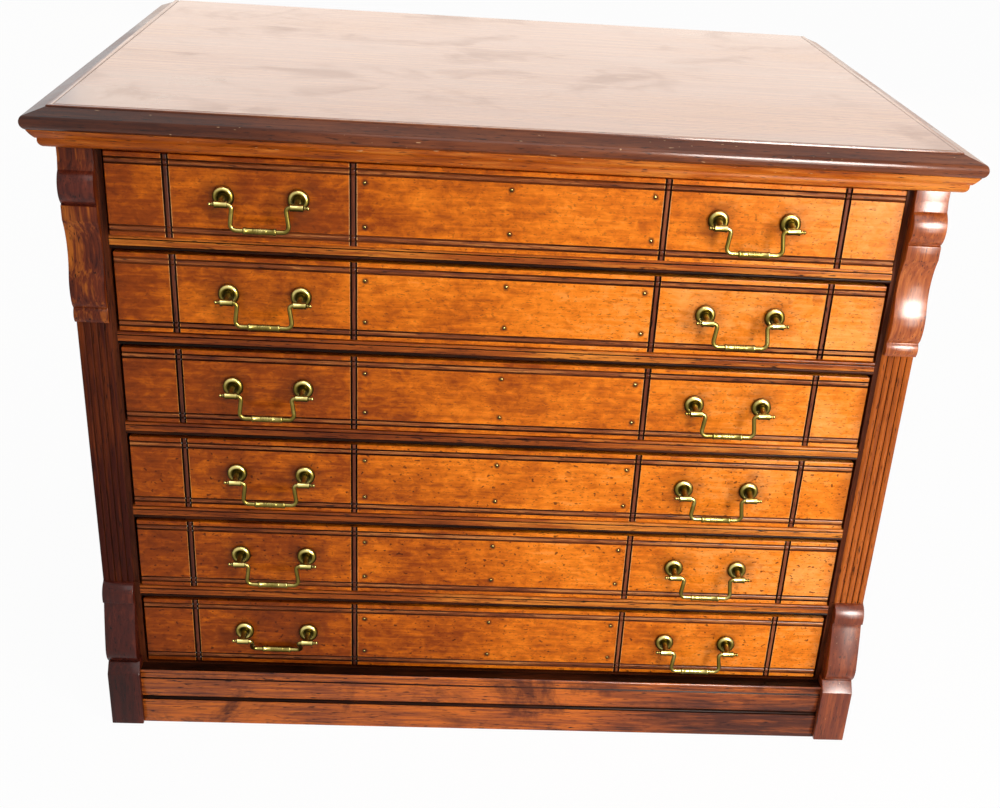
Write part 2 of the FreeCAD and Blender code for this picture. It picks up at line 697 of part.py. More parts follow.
def case():
    """The parts that stay still."""
    rails = [divider_rail(number) for number in range(1, DRAWER_COUNT)]
    head_rail = top_rail()
    right_stile = stile().cut(Part.makeCompound(rails + [head_rail]))
    frame, panel = side_parts()
    bracket = upper_bracket()
    foot = foot_block()
    runners = []
    for number in range(1, DRAWER_COUNT + 1):
        right = runner(number)
        runners += [right, mirrored(right)]
    return {
        "top_board": top_board(),
        "cornice": cornice(),
        "top_rail": head_rail,
        "divider_rails": Part.makeCompound(rails),
        "stile_left": mirrored(right_stile),
        "stile_right": right_stile,
        "side_frame_left": mirrored(frame),
        "side_frame_right": frame,
        "side_panel_left": mirrored(panel),
        "side_panel_right": panel,
        "back_panel": back_panel(),
        "bottom_board": bottom_board(),
        "plinth": plinth(),
        "upper_bracket_left": mirrored(bracket),
        "upper_bracket_right": bracket,
        "foot_left": mirrored(foot),
        "foot_right": foot,
        "runners": Part.makeCompound(runners),
    }


def main():
    nodes = case()
    for number in range(1, DRAWER_COUNT + 1):
        nodes.update(drawer(number))
    os.makedirs("parts", exist_ok=True)
    for name, shape in nodes.items():
        if not shape.isValid() or not shape.Solids:
            print("not a sound solid:", name)
        shape.exportStep(f"parts/{name}.step")
    print(len(nodes), "nodes")


main()
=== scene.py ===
# %% [markdown]
# # A six-drawer spool cabinet
# A shop counter once held its sewing thread in a cabinet like this one. It has a panelled case,
# carved brackets and feet, six dovetailed drawers, and a pair of swinging brass pulls on each
# drawer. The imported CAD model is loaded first. It is the fixed frame: it says where every
# piece is and which body it moves with, and what follows dresses it.

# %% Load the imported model
import cmath
import math

import bmesh
import bpy
from mathutils import Matrix, Vector


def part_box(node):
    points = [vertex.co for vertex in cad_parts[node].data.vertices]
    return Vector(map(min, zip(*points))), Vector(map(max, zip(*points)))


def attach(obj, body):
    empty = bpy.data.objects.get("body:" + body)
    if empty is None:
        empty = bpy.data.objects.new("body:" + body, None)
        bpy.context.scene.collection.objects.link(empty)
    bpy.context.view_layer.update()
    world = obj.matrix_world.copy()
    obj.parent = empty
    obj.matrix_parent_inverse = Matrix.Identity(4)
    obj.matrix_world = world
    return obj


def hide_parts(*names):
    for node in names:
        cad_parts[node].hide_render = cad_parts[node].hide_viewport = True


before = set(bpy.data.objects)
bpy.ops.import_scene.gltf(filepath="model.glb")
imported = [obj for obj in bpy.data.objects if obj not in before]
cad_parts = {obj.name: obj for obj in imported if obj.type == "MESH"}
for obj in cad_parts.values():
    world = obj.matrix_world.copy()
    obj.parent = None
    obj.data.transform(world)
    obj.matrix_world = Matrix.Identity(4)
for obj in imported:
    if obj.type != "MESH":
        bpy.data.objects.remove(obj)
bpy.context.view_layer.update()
MM = 0.001

# %% [markdown]
# ## The camera
# The photograph was taken from in front, a little left of the middle and well above the
# cabinet, looking down. Its frame is cropped from a larger picture, so the optical axis isn't
# in the middle of the frame, and the camera's shift puts it back where it was.

# %% Camera
IMAGE_WIDTH = 1000
IMAGE_HEIGHT = 808
FOCAL_PIXELS = 1449.56
AXIS_PIXEL = (525.86, 660.27)
SENSOR_MM = 36.0
CAMERA_PLACE = (-0.0533, -1.3533, 0.7228)
camera_right = Vector((0.99726, -0.04491, 0.05881))
camera_up = Vector((-0.02700, 0.51900, 0.85440))
camera_forward = Vector((0.06888, 0.85363, -0.51632))

lens = bpy.data.cameras.new("camera")
lens.sensor_width = SENSOR_MM
lens.lens = FOCAL_PIXELS / IMAGE_WIDTH * SENSOR_MM
lens.shift_x = (IMAGE_WIDTH / 2 - AXIS_PIXEL[0]) / IMAGE_WIDTH
lens.shift_y = (AXIS_PIXEL[1] - IMAGE_HEIGHT / 2) / IMAGE_WIDTH
camera = bpy.data.objects.new("camera", lens)
turn = Matrix((camera_right, camera_up, -camera_forward)).transposed().to_4x4()
camera.matrix_world = Matrix.Translation(CAMERA_PLACE) @ turn
bpy.context.scene.collection.objects.link(camera)
bpy.context.scene.camera = camera
print("lens", round(lens.lens, 2), "shift", round(lens.shift_x, 4), round(lens.shift_y, 4))

# %% [markdown]
# ## Colours and nodes
# Colours are written as the hex values that a screen shows, and one function turns them into
# the linear light that the shaders reckon with. Another small function adds a node to a
# material: its settings by name, and its inputs as numbers, hex colours, sockets, or nodes, each
# of which stands for its first live output.

# %% Helpers for colours and nodes
def colour(text):
    """Linear red, green, blue and alpha of a hex colour."""
    parts = [int(text[index:index + 2], 16) / 255 for index in (1, 3, 5)]
    linear = [part / 12.92 if part <= 0.04045 else ((part + 0.055) / 1.055) ** 2.4 for part in parts]
    return (*linear, 1.0)


def add(tree, kind, inputs=None, stops=None, **settings):
    """Adds one node with its settings, its inputs (values or links) and its colour stops."""
    node = tree.nodes.new("ShaderNode" + kind)
    for name, value in settings.items():
        setattr(node, name, value)
    for name, value in (inputs or {}).items():
        if isinstance(value, bpy.types.Node):
            value = next(output for output in value.outputs if output.enabled)
        if isinstance(value, bpy.types.NodeSocket):
            tree.links.new(value, node.inputs[name])
        else:
            node.inputs[name].default_value = colour(value) if isinstance(value, str) else value
    for index, (place, value) in enumerate(stops or []):
        ramp = node.color_ramp.elements
        element = ramp[index] if index < 2 else ramp.new(place)
        element.position = place
        element.color = colour(value) if isinstance(value, str) else (value, value, value, 1.0)
    return node


def new_finish(name):
    """An empty material, its nodes, and the place on the piece that its patterns follow."""
    material = bpy.data.materials.new(name)
    material.use_nodes = True
    tree = material.node_tree
    tree.nodes.clear()
    return material, tree, add(tree, "TexCoord").outputs["Object"]


def seen_directly(tree):
    """One for what the camera, a reflection or clear glass sees, nought for light cast on things."""
    rays = add(tree, "LightPath").outputs
    seen = add(tree, "Math", {0: rays["Is Camera Ray"], 1: rays["Is Glossy Ray"]}, operation="MAXIMUM")
    return add(tree, "Math", {0: seen, 1: rays["Is Transmission Ray"]}, operation="MAXIMUM")


print("a mid orange in linear light", [round(part, 3) for part in colour("#c8742e")])

# %% [markdown]
# ## Floor and light
# The cabinet stands on a plain white table in a pale room. A tall window to the right and in
# front is the main light, so the right side of the face is brighter than the left, and a soft
# light from above fills in. A second, smaller window shows only in reflections and makes the
# white glints on the right bracket and foot. A wide, warm window behind the cabinet is what the
# glossy top reflects towards the camera. The world is the even light of the room, and is white
# to the camera and in reflections. The table is matt paint with a very faint mottle, and shows
# almost wholly white to the camera, so that only the cabinet's own shade is left on it.

# %% Floor
WHITE_SHARE = 0.96
MOTTLE_SIZE = 333.3 * MM
floor_paint, tree, place = new_finish("white_table")
mottle = add(tree, "TexNoise", {"Vector": place, "Scale": 1 / MOTTLE_SIZE, "Detail": 3.0})
tone = add(tree, "ValToRGB", {"Fac": mottle}, stops=[(0.3, "#f6f6f4"), (0.7, "#ffffff")])
paint = add(tree, "BsdfPrincipled", {"Base Color": tone, "Roughness": 0.6, "Specular IOR Level": 0.2})
share = add(tree, "Math", {0: seen_directly(tree), 1: WHITE_SHARE}, operation="MULTIPLY")
white = add(tree, "Emission", {"Color": "#ffffff", "Strength": 1.0})
mixed = add(tree, "MixShader", {0: share, 1: paint, 2: white})
add(tree, "OutputMaterial", {"Surface": mixed})
bpy.ops.object.select_all(action="DESELECT")
bpy.ops.mesh.primitive_plane_add(size=14.0, location=(0.0, 2.0, -0.0002))
floor = bpy.context.object
floor.name = "floor"
floor.data.materials.append(floor_paint)
print("floor", [round(side, 1) for side in floor.dimensions])

# %% Lamps
LAMPS = {  # place, the point it faces, width and height, watts, tint
    "side_window": ((0.68, -1.15, 0.54), (0.26, -0.26, 0.54), (0.26, 0.84), 9.0, "#fff8ee"),
    "glint_window": ((0.66, -1.15, 0.76), (0.31, -0.27, 0.42), (0.50, 0.44), 34.0, "#fff8f2"),
    "ceiling": ((0.2, -1.1, 2.0), (0.0, -0.2, 0.3), (1.2, 1.2), 10.5, "#ffffff"),
    "back_window": ((1.0, 3.2, 1.15), (0.0, 0.0, 0.5), (4.8, 1.7), 15.0, "#ffcfa0"),
}
for name, (place, target, size, watts, tint) in LAMPS.items():
    light = bpy.data.lights.new(name, "AREA")
    light.shape = "RECTANGLE"
    light.size, light.size_y = size
    light.energy = watts
    light.color = colour(tint)[:3]
    lamp = bpy.data.objects.new(name, light)
    lamp.location = place
    lamp.rotation_euler = (Vector(target) - Vector(place)).to_track_quat("-Z", "Y").to_euler()
    bpy.context.scene.collection.objects.link(lamp)
bpy.data.objects["glint_window"].visible_diffuse = False
bpy.data.objects["back_window"].visible_camera = False
print("lamps", list(LAMPS))

# %% World
WORLD_LIGHT = 0.33
world = bpy.data.worlds.new("pale_room")
bpy.context.scene.world = world
world.use_nodes = True
sky = world.node_tree
sky.nodes.clear()
strength = add(sky, "MapRange", {"Value": seen_directly(sky), "To Min": WORLD_LIGHT, "To Max": 1.0})
background = add(sky, "Background", {"Color": "#ffffff", "Strength": strength})
add(sky, "OutputWorld", {"Surface": background})
bpy.context.scene.view_settings.view_transform = "Standard"
print("world", world.name)

# %% [markdown]
# ## Woods
# The case is cherry, stained a deep red-brown and varnished with shellac. The eye sees long
# streaks of grain, a slow change of tone from board to board, small dark pores, and a warm
# gloss. All of these are noises of different sizes, each one stretched along the grain. The
# sizes are real: pores a few millimetres long and streaks of 2 to 4 mm across.
#
# Some boards show more. Growth rings are a wave that runs round a line where the tree's heart
# was. Water and heat left brown stains on the top, where the polish is duller too. Knocks
# chipped the nose down to bare pale wood. A slow drift of tone from left to right is partly
# the years of sun and dust that reached one side more than the other, and partly painted shade
# where the window's light falls off towards the left.

# %% Varnished wood
BARE_CHERRY = "#dcb487"
WAVE_LENGTH = 0.314  # a wave texture of scale 1 repeats after this many metres


def varnished_wood(name, along, tones, pores, streak_mm=3.0, cloud_mm=110.0, gloss=0.3, coat=0.08,
                   relief=0.12, darker_left=0.0, specular=0.1, rings_mm=0.0, pith=(0.0, 0.0), figure=0.45,
                   contrast=1.0, stains=None, chips=0.0, ring_share=0.16, polish=0.16):
    """A varnished wood: tones from dark to light, pores, and its grain along axis 0, 1 or 2."""
    material, tree, place = new_finish(name)
    # Size across the grain in mm, times as long along it, detail, roughness and distortion.
    patterns = {"cloud": (cloud_mm, 2.5, 3.0, 0.55, 0.0),
                "streak": (streak_mm, 18.0, 6.0, 0.6, 0.4),
                "pore": (1.1, 9.0, 2.0, 0.5, 0.0)}
    if stains:
        patterns["stain"] = (90.91, 1.0, 9.0, 0.68, 0.5)
    if chips:
        patterns["chip"] = (2.2, 3.0, 1.0, 0.5, 0.0)
    noise = {}
    for pattern, (across_mm, ratio, detail, roughness, distortion) in patterns.items():
        scale = [1 / (across_mm * MM)] * 3
        scale[along] /= ratio
        stretched = add(tree, "Mapping", {"Vector": place, "Scale": scale})
        noise[pattern] = add(tree, "TexNoise", {
            "Vector": stretched, "Scale": 1.0, "Detail": detail, "Roughness": roughness,
            "Distortion": distortion})

    grain = add(tree, "Mix", {
        "Factor": figure, "A": noise["cloud"], "B": noise["streak"]}, data_type="FLOAT")
    if rings_mm:
        squeeze = [1.0] * 3
        squeeze[along] = 0.06
        heart = [-pith[0], -pith[1]]
        heart.insert(along, 0.0)
        either_side = add(tree, "VectorMath", {0: place}, operation="ABSOLUTE")
        centred = add(tree, "Mapping", {"Vector": either_side, "Scale": squeeze, "Location": heart})
        growth = add(tree, "TexWave", {
            "Vector": centred, "Scale": WAVE_LENGTH / (rings_mm * MM), "Distortion": 5.0,
            "Detail": 2.0, "Detail Scale": 0.35}, wave_type="RINGS", rings_direction="XYZ"[along],
            wave_profile="SAW").outputs["Fac"]
        grain = add(tree, "Mix", {"Factor": ring_share, "A": grain, "B": growth}, data_type="FLOAT")
    sideways = add(tree, "SeparateXYZ", {"Vector": place}).outputs["X"]
    stronger = add(tree, "Math", {0: grain, 1: contrast, 2: 0.5 - 0.5 * contrast}, operation="MULTIPLY_ADD")
    # The drift is partly the finish's own tone and partly painted shade for the window light's fall-off.
    drift = add(tree, "Math", {0: sideways, 1: darker_left, 2: stronger}, operation="MULTIPLY_ADD")
    body = add(tree, "ValToRGB", {"Fac": drift}, stops=zip((0.33, 0.50, 0.66), tones))
    pore = add(tree, "ValToRGB", {"Fac": noise["pore"]}, stops=[(0.60, 0.0), (0.72, 1.0)])
    surface = add(tree, "Mix", {"Factor": pore, "A": body, "B": pores}, data_type="RGBA")
    shine = coat
    if stains:
        amount = add(tree, "MapRange", {
            "Value": noise["stain"], "From Min": 0.53, "From Max": 0.64, "To Max": 0.85})
        surface = add(tree, "Mix", {"Factor": amount, "A": surface, "B": stains}, data_type="RGBA")
        shine = add(tree, "MapRange", {"Value": amount, "To Min": coat, "To Max": coat * 0.7})
    if chips:
        bare = add(tree, "MapRange", {
            "Value": noise["chip"], "From Min": 0.755, "From Max": 0.775, "To Max": chips})
        surface = add(tree, "Mix", {"Factor": bare, "A": surface, "B": BARE_CHERRY}, data_type="RGBA")

    rub = add(tree, "MapRange", {
        "Value": noise["cloud"], "From Min": 0.3, "From Max": 0.7,
        "To Min": gloss - 0.07, "To Max": gloss + 0.1})
    bump = add(tree, "Bump", {"Height": noise["streak"], "Strength": relief, "Distance": 0.4 * MM})
    shader = add(tree, "BsdfPrincipled", {
        "Base Color": surface,
        "Roughness": rub,
        "Specular IOR Level": specular,
        "Coat Weight": shine,
        "Coat Roughness": polish,
        "Normal": bump,
    })
    add(tree, "OutputMaterial", {"Surface": shader})
    return material


print("varnish over bare cherry of", BARE_CHERRY)

# %% [markdown]
# Long boards run from dark to orange in streaks. The cornice and nose are knocked down to pale
# chips along their edges. The undersides and edges of mouldings are nearly black: partly old
# polish and grime, partly painted shade in the recesses and under the drawers.

# %% Woods of the long boards
rail_wood = varnished_wood("stained_cherry_rails", 0, ("#63290d", "#a04f18", "#d4802e"), "#2a0f05",
                           darker_left=0.2, contrast=1.5, specular=0.08)
cornice_wood = varnished_wood("stained_cherry_cornice", 0, ("#6f2d0a", "#b0560f", "#d68232"), "#37140a",
                              cloud_mm=70.0, darker_left=0.2, contrast=1.3, chips=0.5)
plinth_wood = varnished_wood("stained_cherry_plinth", 0, ("#4c2010", "#93481c", "#cc6a1c"), "#2c1008",
                             streak_mm=2.4, cloud_mm=80.0, figure=0.5, darker_left=-0.32, contrast=1.5,
                             coat=0.5, specular=0.04, stains="#4a2014")
edge_wood = varnished_wood("worn_cherry_nose", 0, ("#3f1a0c", "#653016", "#8a4a26"), "#1f0d06",
                           cloud_mm=60.0, darker_left=0.15, coat=0.4, specular=0.06, chips=0.6)
# Nearly black edges: partly grime, partly painted shade in recesses and under proud drawers.
shade_and_grime_edge = varnished_wood("shade_and_grime_moulding_edges", 0, ("#120804", "#261108", "#4a2210"), "#080403",
                           coat=0.0, specular=0.05, streak_mm=1.5, cloud_mm=60.0, contrast=1.5)
TOP_PITH = (0.05, 0.44)
# The top's tones are paler and pinker than the other boards': partly a faded finish, partly a painted
# reflection of the pale window behind.
top_wood = varnished_wood("stained_cherry_top", 0, ("#6f3618", "#935030", "#b87a4c"), "#4c2717",
                          streak_mm=5.0, cloud_mm=160.0, coat=0.9, relief=0.06, rings_mm=5.0,
                          pith=TOP_PITH, contrast=1.4, stains="#82421c", ring_share=0.1)
print("long boards", rail_wood.name, cornice_wood.name, plinth_wood.name, edge_wood.name, top_wood.name)

# %% [markdown]
# Uprights have their grain standing. On the left the carvings are dull and dark, almost plum at
# the foot, and part of that darkness is painted shade where the window's light falls off. On the
# right they are redder and still have a hard polish that catches the window.

# %% Woods of the uprights
UPRIGHT_PITH = (0.331, 0.243)
stile_wood = varnished_wood("stained_cherry_stiles", 2, ("#3c130a", "#75330f", "#aa581e"), "#1e0a05",
                            darker_left=0.5, coat=0.03, specular=0.06)
# Painted shade, with some dark stain: the stile's inner strip, its reed valleys and the bottom board.
shade_and_stain_strip = varnished_wood("shaded_and_stained_stile_edges", 2, ("#260d06", "#48200f", "#6e3216"), "#140704",
                            coat=0.0, specular=0.05, streak_mm=1.5)
# The left finishes are darker than the right partly as painted shade where the window's light falls off.
left_wood = varnished_wood("dark_shaded_cherry_bracket", 2, ("#300f09", "#682a12", "#b4621f"), "#1e0a05",
                           cloud_mm=38.0, coat=0.1, specular=0.1, rings_mm=2.2, pith=UPRIGHT_PITH,
                           contrast=1.5, darker_left=0.14, ring_share=0.03)
right_wood = varnished_wood("polished_cherry_bracket", 2, ("#5a2410", "#974716", "#c8702e"), "#2c1008",
                            cloud_mm=60.0, coat=0.75, specular=0.05, gloss=0.34, rings_mm=3.4,
                            pith=UPRIGHT_PITH, ring_share=0.05, polish=0.25)
left_foot_wood = varnished_wood("dark_shaded_cherry_foot", 2, ("#2c0e0a", "#48180f", "#72301c"), "#180704",
                                cloud_mm=50.0, coat=0.25, specular=0.1)
foot_wood = varnished_wood("polished_cherry_foot", 2, ("#441808", "#722f14", "#a05024"), "#200c06",
                           cloud_mm=60.0, coat=0.75, specular=0.05, gloss=0.34, chips=0.5, polish=0.28)
side_wood = varnished_wood("stained_cherry_sides", 2, ("#3c170a", "#75350f", "#a65620"), "#1e0a05",
                           darker_left=0.2, coat=0.15)
print("uprights", stile_wood.name, left_wood.name, right_wood.name, foot_wood.name, side_wood.name)

# %% [markdown]
# The insides are plain secondary wood that was never varnished: tulip poplar, gone tan and a
# little grey with age. It is matt, and its streaks are broad and faint.

# %% Bare wood
box_wood = varnished_wood("bare_poplar_boxes", 1, ("#a07a4f", "#b8925f", "#c9a673"), "#7d5a38",
                          streak_mm=4.0, gloss=0.62, coat=0.0, relief=0.2)
inner_wood = varnished_wood("bare_poplar_case", 0, ("#86633f", "#9c774d", "#af8a5c"), "#5f4329",
                            streak_mm=5.0, gloss=0.66, coat=0.0, relief=0.2)
print("bare woods", box_wood.name, inner_wood.name)

# %% [markdown]
# ## Drawer fronts
# The fronts are bird's-eye maple under orange shellac, each cut from a board with its own tone.
# Clouds, streaks and a mottle make the field, and one loop then lays marks over it, each where a
# pattern passes a limit: flecks and small dark eyes in the wood, more of them in the lower
# drawers, brown dirt that hands and polish left, most of it about the pulls, and a darkening at
# each front's right end that is partly dirt and partly painted shade beside the stile.

# %% Maple's patterns
MAPLE_PATTERNS = {  # sizes along x, y and z in mm, then detail, roughness and distortion
    "cloud": ((90.91, 90.91, 62.5), 4.0, 0.6, 0.3),
    "streak": ((35.71, 16.67, 3.03), 5.0, 0.6, 0.5),
    "mottle": ((10.53, 11.11, 6.667), 5.0, 0.62, 0.8),
    "fleck": ((3.03, 3.333, 1.111), 2.0, 0.5, 0.2),
    "eye": ((4.0, 4.0, 3.03), 1.0, 0.5, 0.0),
    "blot": ((13.33, 16.67, 7.692), 3.0, 0.6, 0.6),
    "smear": ((20.83, 16.67, 12.5), 4.0, 0.6, 0.0),
    "dust": ((3.333, 3.333, 3.333), 3.0, 0.5, 0.0),
}
front_wood, tree, place = new_finish("shellacked_maple_fronts")
maple = {}
for name, (sizes_mm, detail, roughness, distortion) in MAPLE_PATTERNS.items():
    spread = add(tree, "Mapping", {"Vector": place, "Scale": [1 / (size * MM) for size in sizes_mm]})
    maple[name] = add(tree, "TexNoise", {
        "Vector": spread, "Scale": 1.0, "Detail": detail, "Roughness": roughness, "Distortion": distortion})
print("maple patterns", list(maple))

# %% Maple's field
FIRST_DRAWER = 55.0 * MM
PITCH = 73.4 * MM
BOARD_TONES = (0.42, 0.50, 0.52, 0.44, 0.62, 0.50)  # from the lowest drawer up, darker to lighter
axes = add(tree, "SeparateXYZ", {"Vector": place}).outputs
height = add(tree, "Math", {0: axes["Z"], 1: FIRST_DRAWER}, operation="SUBTRACT")
share_up = add(tree, "Math", {0: height, 1: len(BOARD_TONES) * PITCH}, operation="DIVIDE")
board = add(tree, "ValToRGB", {"Fac": share_up}, stops=[
    (index / len(BOARD_TONES), tone) for index, tone in enumerate(BOARD_TONES)])
board.color_ramp.interpolation = "CONSTANT"
tone = -0.11
# The field grows lighter towards the right: partly the boards' own tone, partly painted light and
# reflection from the window.
for part, share in ((maple["cloud"], 0.36), (maple["streak"], 0.26), (maple["mottle"], 0.28),
                    (axes["X"], 0.42), (board, 0.3)):
    tone = add(tree, "Math", {0: part, 1: share, 2: tone}, operation="MULTIPLY_ADD")
field_colour = add(tree, "ValToRGB", {"Fac": tone}, stops=[
    (0.27, "#652706"), (0.39, "#93410a"), (0.49, "#cd680e"), (0.57, "#ec821a"), (0.70, "#f8a050")])
print("boards", len(BOARD_TONES))

# %% How far each place is from pulls, pins and ends
PULL_X = 181.95 * MM
HALF_SPACING = 27.15 * MM
POST_RISE = 32.0 * MM
PIN_OUT = 106.5 * MM
PIN_MIDDLE = 30.5 * MM
PIN_HALF = 16.0 * MM
RIGHT_END = 293.0 * MM


def from_line(value, line):
    """How far a coordinate is from a line, on either side."""
    past = add(tree, "Math", {0: value, 1: line}, operation="SUBTRACT")
    return add(tree, "Math", {0: past}, operation="ABSOLUTE")


def from_spot(across, up):
    """How far a place is from a spot that is so far across and up."""
    both = add(tree, "CombineXYZ", {"X": across, "Y": up})
    return add(tree, "VectorMath", {0: both}, operation="LENGTH")


rise = add(tree, "Math", {0: height, 1: PITCH}, operation="FLOORED_MODULO")
out = from_line(axes["X"], 0.0)
from_post = from_spot(from_line(from_line(out, PULL_X), HALF_SPACING), from_line(rise, POST_RISE))
pin_side = add(tree, "Math", {0: from_line(out, PIN_OUT), 1: out}, operation="MINIMUM")
from_pin = from_spot(pin_side, from_line(from_line(rise, PIN_MIDDLE), PIN_HALF))
from_end = add(tree, "Math", {0: RIGHT_END, 1: axes["X"]}, operation="SUBTRACT")
# A noise makes each distance ragged, so that the dirt, and the painted shade at the right end, have no hard
# outline.
pull_dirt, pin_dirt, end_dirt_and_shade = (
    add(tree, "Math", {0: pattern, 1: raggedness, 2: distance}, operation="MULTIPLY_ADD")
    for pattern, raggedness, distance in (
        (maple["smear"], 36.0 * MM, from_post),
        (maple["dust"], 2.0 * MM, from_pin),
        (maple["cloud"], 12.0 * MM, from_end)))
print("pulls", PULL_X / MM, "mm and pins", PIN_OUT / MM, "mm from the middle")

# %% Maple's marks and shine
UPPER_ROWS = 3 * PITCH
eye_strength = add(tree, "MapRange", {
    "Value": height, "From Min": UPPER_ROWS - 5.0 * MM, "From Max": UPPER_ROWS - 1.0 * MM,
    "To Min": 0.8, "To Max": 0.3})
MARKS = (  # pattern, where the mark begins, where it is full, its most, its colour
    (maple["fleck"], 0.62, 0.70, 0.65, "#6d3210"),
    (maple["eye"], 0.66, 0.72, eye_strength, "#3c1605"),
    (maple["blot"], 0.60, 0.70, 0.4, "#8c3d0c"),
    (pull_dirt, 38.0 * MM, 16.0 * MM, 0.68, "#5b2a10"),
    (pin_dirt, 4.2 * MM, 2.4 * MM, 0.85, "#3a1a09"),
    # Darker towards each front's right end: partly dirt, partly painted shade beside the stile.
    (end_dirt_and_shade, 16.0 * MM, 4.0 * MM, 0.55, "#6a3212"),
)
for pattern, begins, full, most, stain in MARKS:
    amount = add(tree, "MapRange", {
        "Value": pattern, "From Min": begins, "From Max": full, "To Max": most})
    field_colour = add(tree, "Mix", {"Factor": amount, "A": field_colour, "B": stain}, data_type="RGBA")
rub = add(tree, "MapRange", {
    "Value": maple["cloud"], "From Min": 0.3, "From Max": 0.7, "To Min": 0.28, "To Max": 0.42})
bump = add(tree, "Bump", {"Height": maple["streak"], "Strength": 0.08, "Distance": 0.3 * MM})
shader = add(tree, "BsdfPrincipled", {
    "Base Color": field_colour,
    "Roughness": rub,
    "Specular IOR Level": 0.05,
    "Coat Weight": 0.14,
    "Coat Roughness": 0.22,
    "Normal": bump,
})
add(tree, "OutputMaterial", {"Surface": shader})
print("marks", len(MARKS), "on", front_wood.name)

# %% [markdown]
# The bands that frame the panels were stained brown, and their grooves are dark, the upright ones near
# black.
# The sharp edges beside the upright bands are pale maple: partly rubbed bare, partly a painted highlight on
# the arris.

# %% Finishes of the bands
band_wood = varnished_wood("brown_stained_beads", 0, ("#5c2812", "#8e4a20", "#c47c40"), "#2a1108",
                           streak_mm=1.2, cloud_mm=40.0, relief=0.05, figure=0.6, contrast=1.3,
                           darker_left=0.2)
upright_band = varnished_wood("dark_stained_beads", 2, ("#3c190f", "#6c341e", "#94522e"), "#1a0b06",
                              streak_mm=1.5, relief=0.05, darker_left=0.2)
near_black_grooves = varnished_wood("near_black_in_grooves", 0, ("#0e0604", "#1b0c07", "#2e160c"), "#080403",
                             streak_mm=1.5, coat=0.0, relief=0.05)
dark_long_grooves = varnished_wood("dark_in_long_grooves", 0, ("#28110a", "#4c2411", "#7c3e1c"), "#120804",
                              streak_mm=1.5, coat=0.0, relief=0.05, contrast=1.6)
# Pale arris strip: partly maple rubbed bare, partly a painted highlight.
highlit_worn_maple = varnished_wood("highlit_worn_maple_arrises", 0, ("#a8641e", "#d88a3c", "#f2b878"), "#6d3210",
                              streak_mm=1.5, coat=0.0, relief=0.05)
print("bands", band_wood.name, upright_band.name, near_black_grooves.name, dark_long_grooves.name, highlit_worn_maple.name)

# %% [markdown]
# ## Brass
# The pulls are cast and drawn brass whose lacquer wore off long ago. Surfaces that face forward
# and up are pale yellow, and those that face down or aside are olive-brown: partly rubbing and
# tarnish, partly a painted highlight and painted shade from the light above and in front. Fingers
# go right round a bail's wire, so its far side is paler than a post's. A metal's colour is in
# its reflections, so the tarnish also makes it rougher.

# %% Aged brass
LIT_AND_RUBBED_SIDE = (0.0, -0.75, 0.66)
PATCH_SIZE = 11.11 * MM


def aged_and_shaded_brass(name, tones, far_side, near_side):
    """Worn brass: pale where it faces forward and up, olive-brown and duller where it faces away, partly
    wear and tarnish and partly painted highlight and shade.
    """
    material, tree, place = new_finish(name)
    patch = add(tree, "TexNoise", {"Vector": place, "Scale": 1 / PATCH_SIZE, "Detail": 3.0})
    # Painted highlight and shade with wear: the tone follows how far each face turns forward and up.
    facing = add(tree, "VectorMath", {
        0: place.node.outputs["Normal"], 1: LIT_AND_RUBBED_SIDE}, operation="DOT_PRODUCT")
    lit_and_handled = add(tree, "MapRange", {
        "Value": facing, "From Min": 0.3, "From Max": 1.0, "To Min": far_side, "To Max": near_side})
    wear_and_light = add(tree, "Math", {0: patch, 1: 0.3, 2: lit_and_handled}, operation="MULTIPLY_ADD")
    tone = add(tree, "ValToRGB", {"Fac": wear_and_light}, stops=zip((0.36, 0.60, 0.78), tones))
    dull = add(tree, "MapRange", {
        "Value": wear_and_light, "From Min": 0.35, "From Max": 0.8, "To Min": 0.4, "To Max": 0.2})
    bump = add(tree, "Bump", {"Height": patch, "Strength": 0.04, "Distance": 0.2 * MM})
    shader = add(tree, "BsdfPrincipled", {
        "Base Color": tone, "Metallic": 1.0, "Roughness": dull, "Normal": bump})
    add(tree, "OutputMaterial", {"Surface": shader})
    return material


brass = aged_and_shaded_brass("aged_and_shaded_brass", ("#2e260a", "#7c6c2e", "#e6d486"), 0.14, 0.62)
wire_brass = aged_and_shaded_brass("rubbed_and_shaded_brass_wire", ("#2e260a", "#75662c", "#dccb80"), 0.3, 0.53)
dull_brass = aged_and_shaded_brass("tarnished_and_shaded_brass_pins", ("#241c0c", "#54461f", "#9a8850"), 0.14, 0.66)
print("metals", brass.name, wire_brass.name, dull_brass.name)

# %% [markdown]
# ## Tools for modelling
# Every piece below starts as a primitive and is shaped in edit mode. Blender's operators act
# on whatever is selected, so one helper adds a primitive with nothing else selected, and
# another selects vertices, edges or faces by where they are. Shaping by place rather than by
# number keeps each step readable.

# %% Start a piece and edit it
def only(*pieces):
    """Selects these pieces and nothing else, and makes the first one active."""
    bpy.ops.object.select_all(action="DESELECT")
    for piece in pieces:
        piece.select_set(True)
    bpy.context.view_layer.objects.active = pieces[0]


def fresh(name, add_primitive, **settings):
    """Adds one primitive, names it, and moves its place into its mesh."""
    bpy.ops.object.select_all(action="DESELECT")
    add_primitive(**settings)
    piece = bpy.context.object
    piece.name = piece.data.name = name
    bpy.ops.object.transform_apply(location=True, rotation=True, scale=True)
    return piece


def block(name, low, high):
    """A cube between two corners."""
    low, high = Vector(low), Vector(high)
    return fresh(name, bpy.ops.mesh.primitive_cube_add, size=1.0, scale=high - low,
                 location=(low + high) / 2)


def everything():
    bpy.ops.mesh.select_all(action="SELECT")


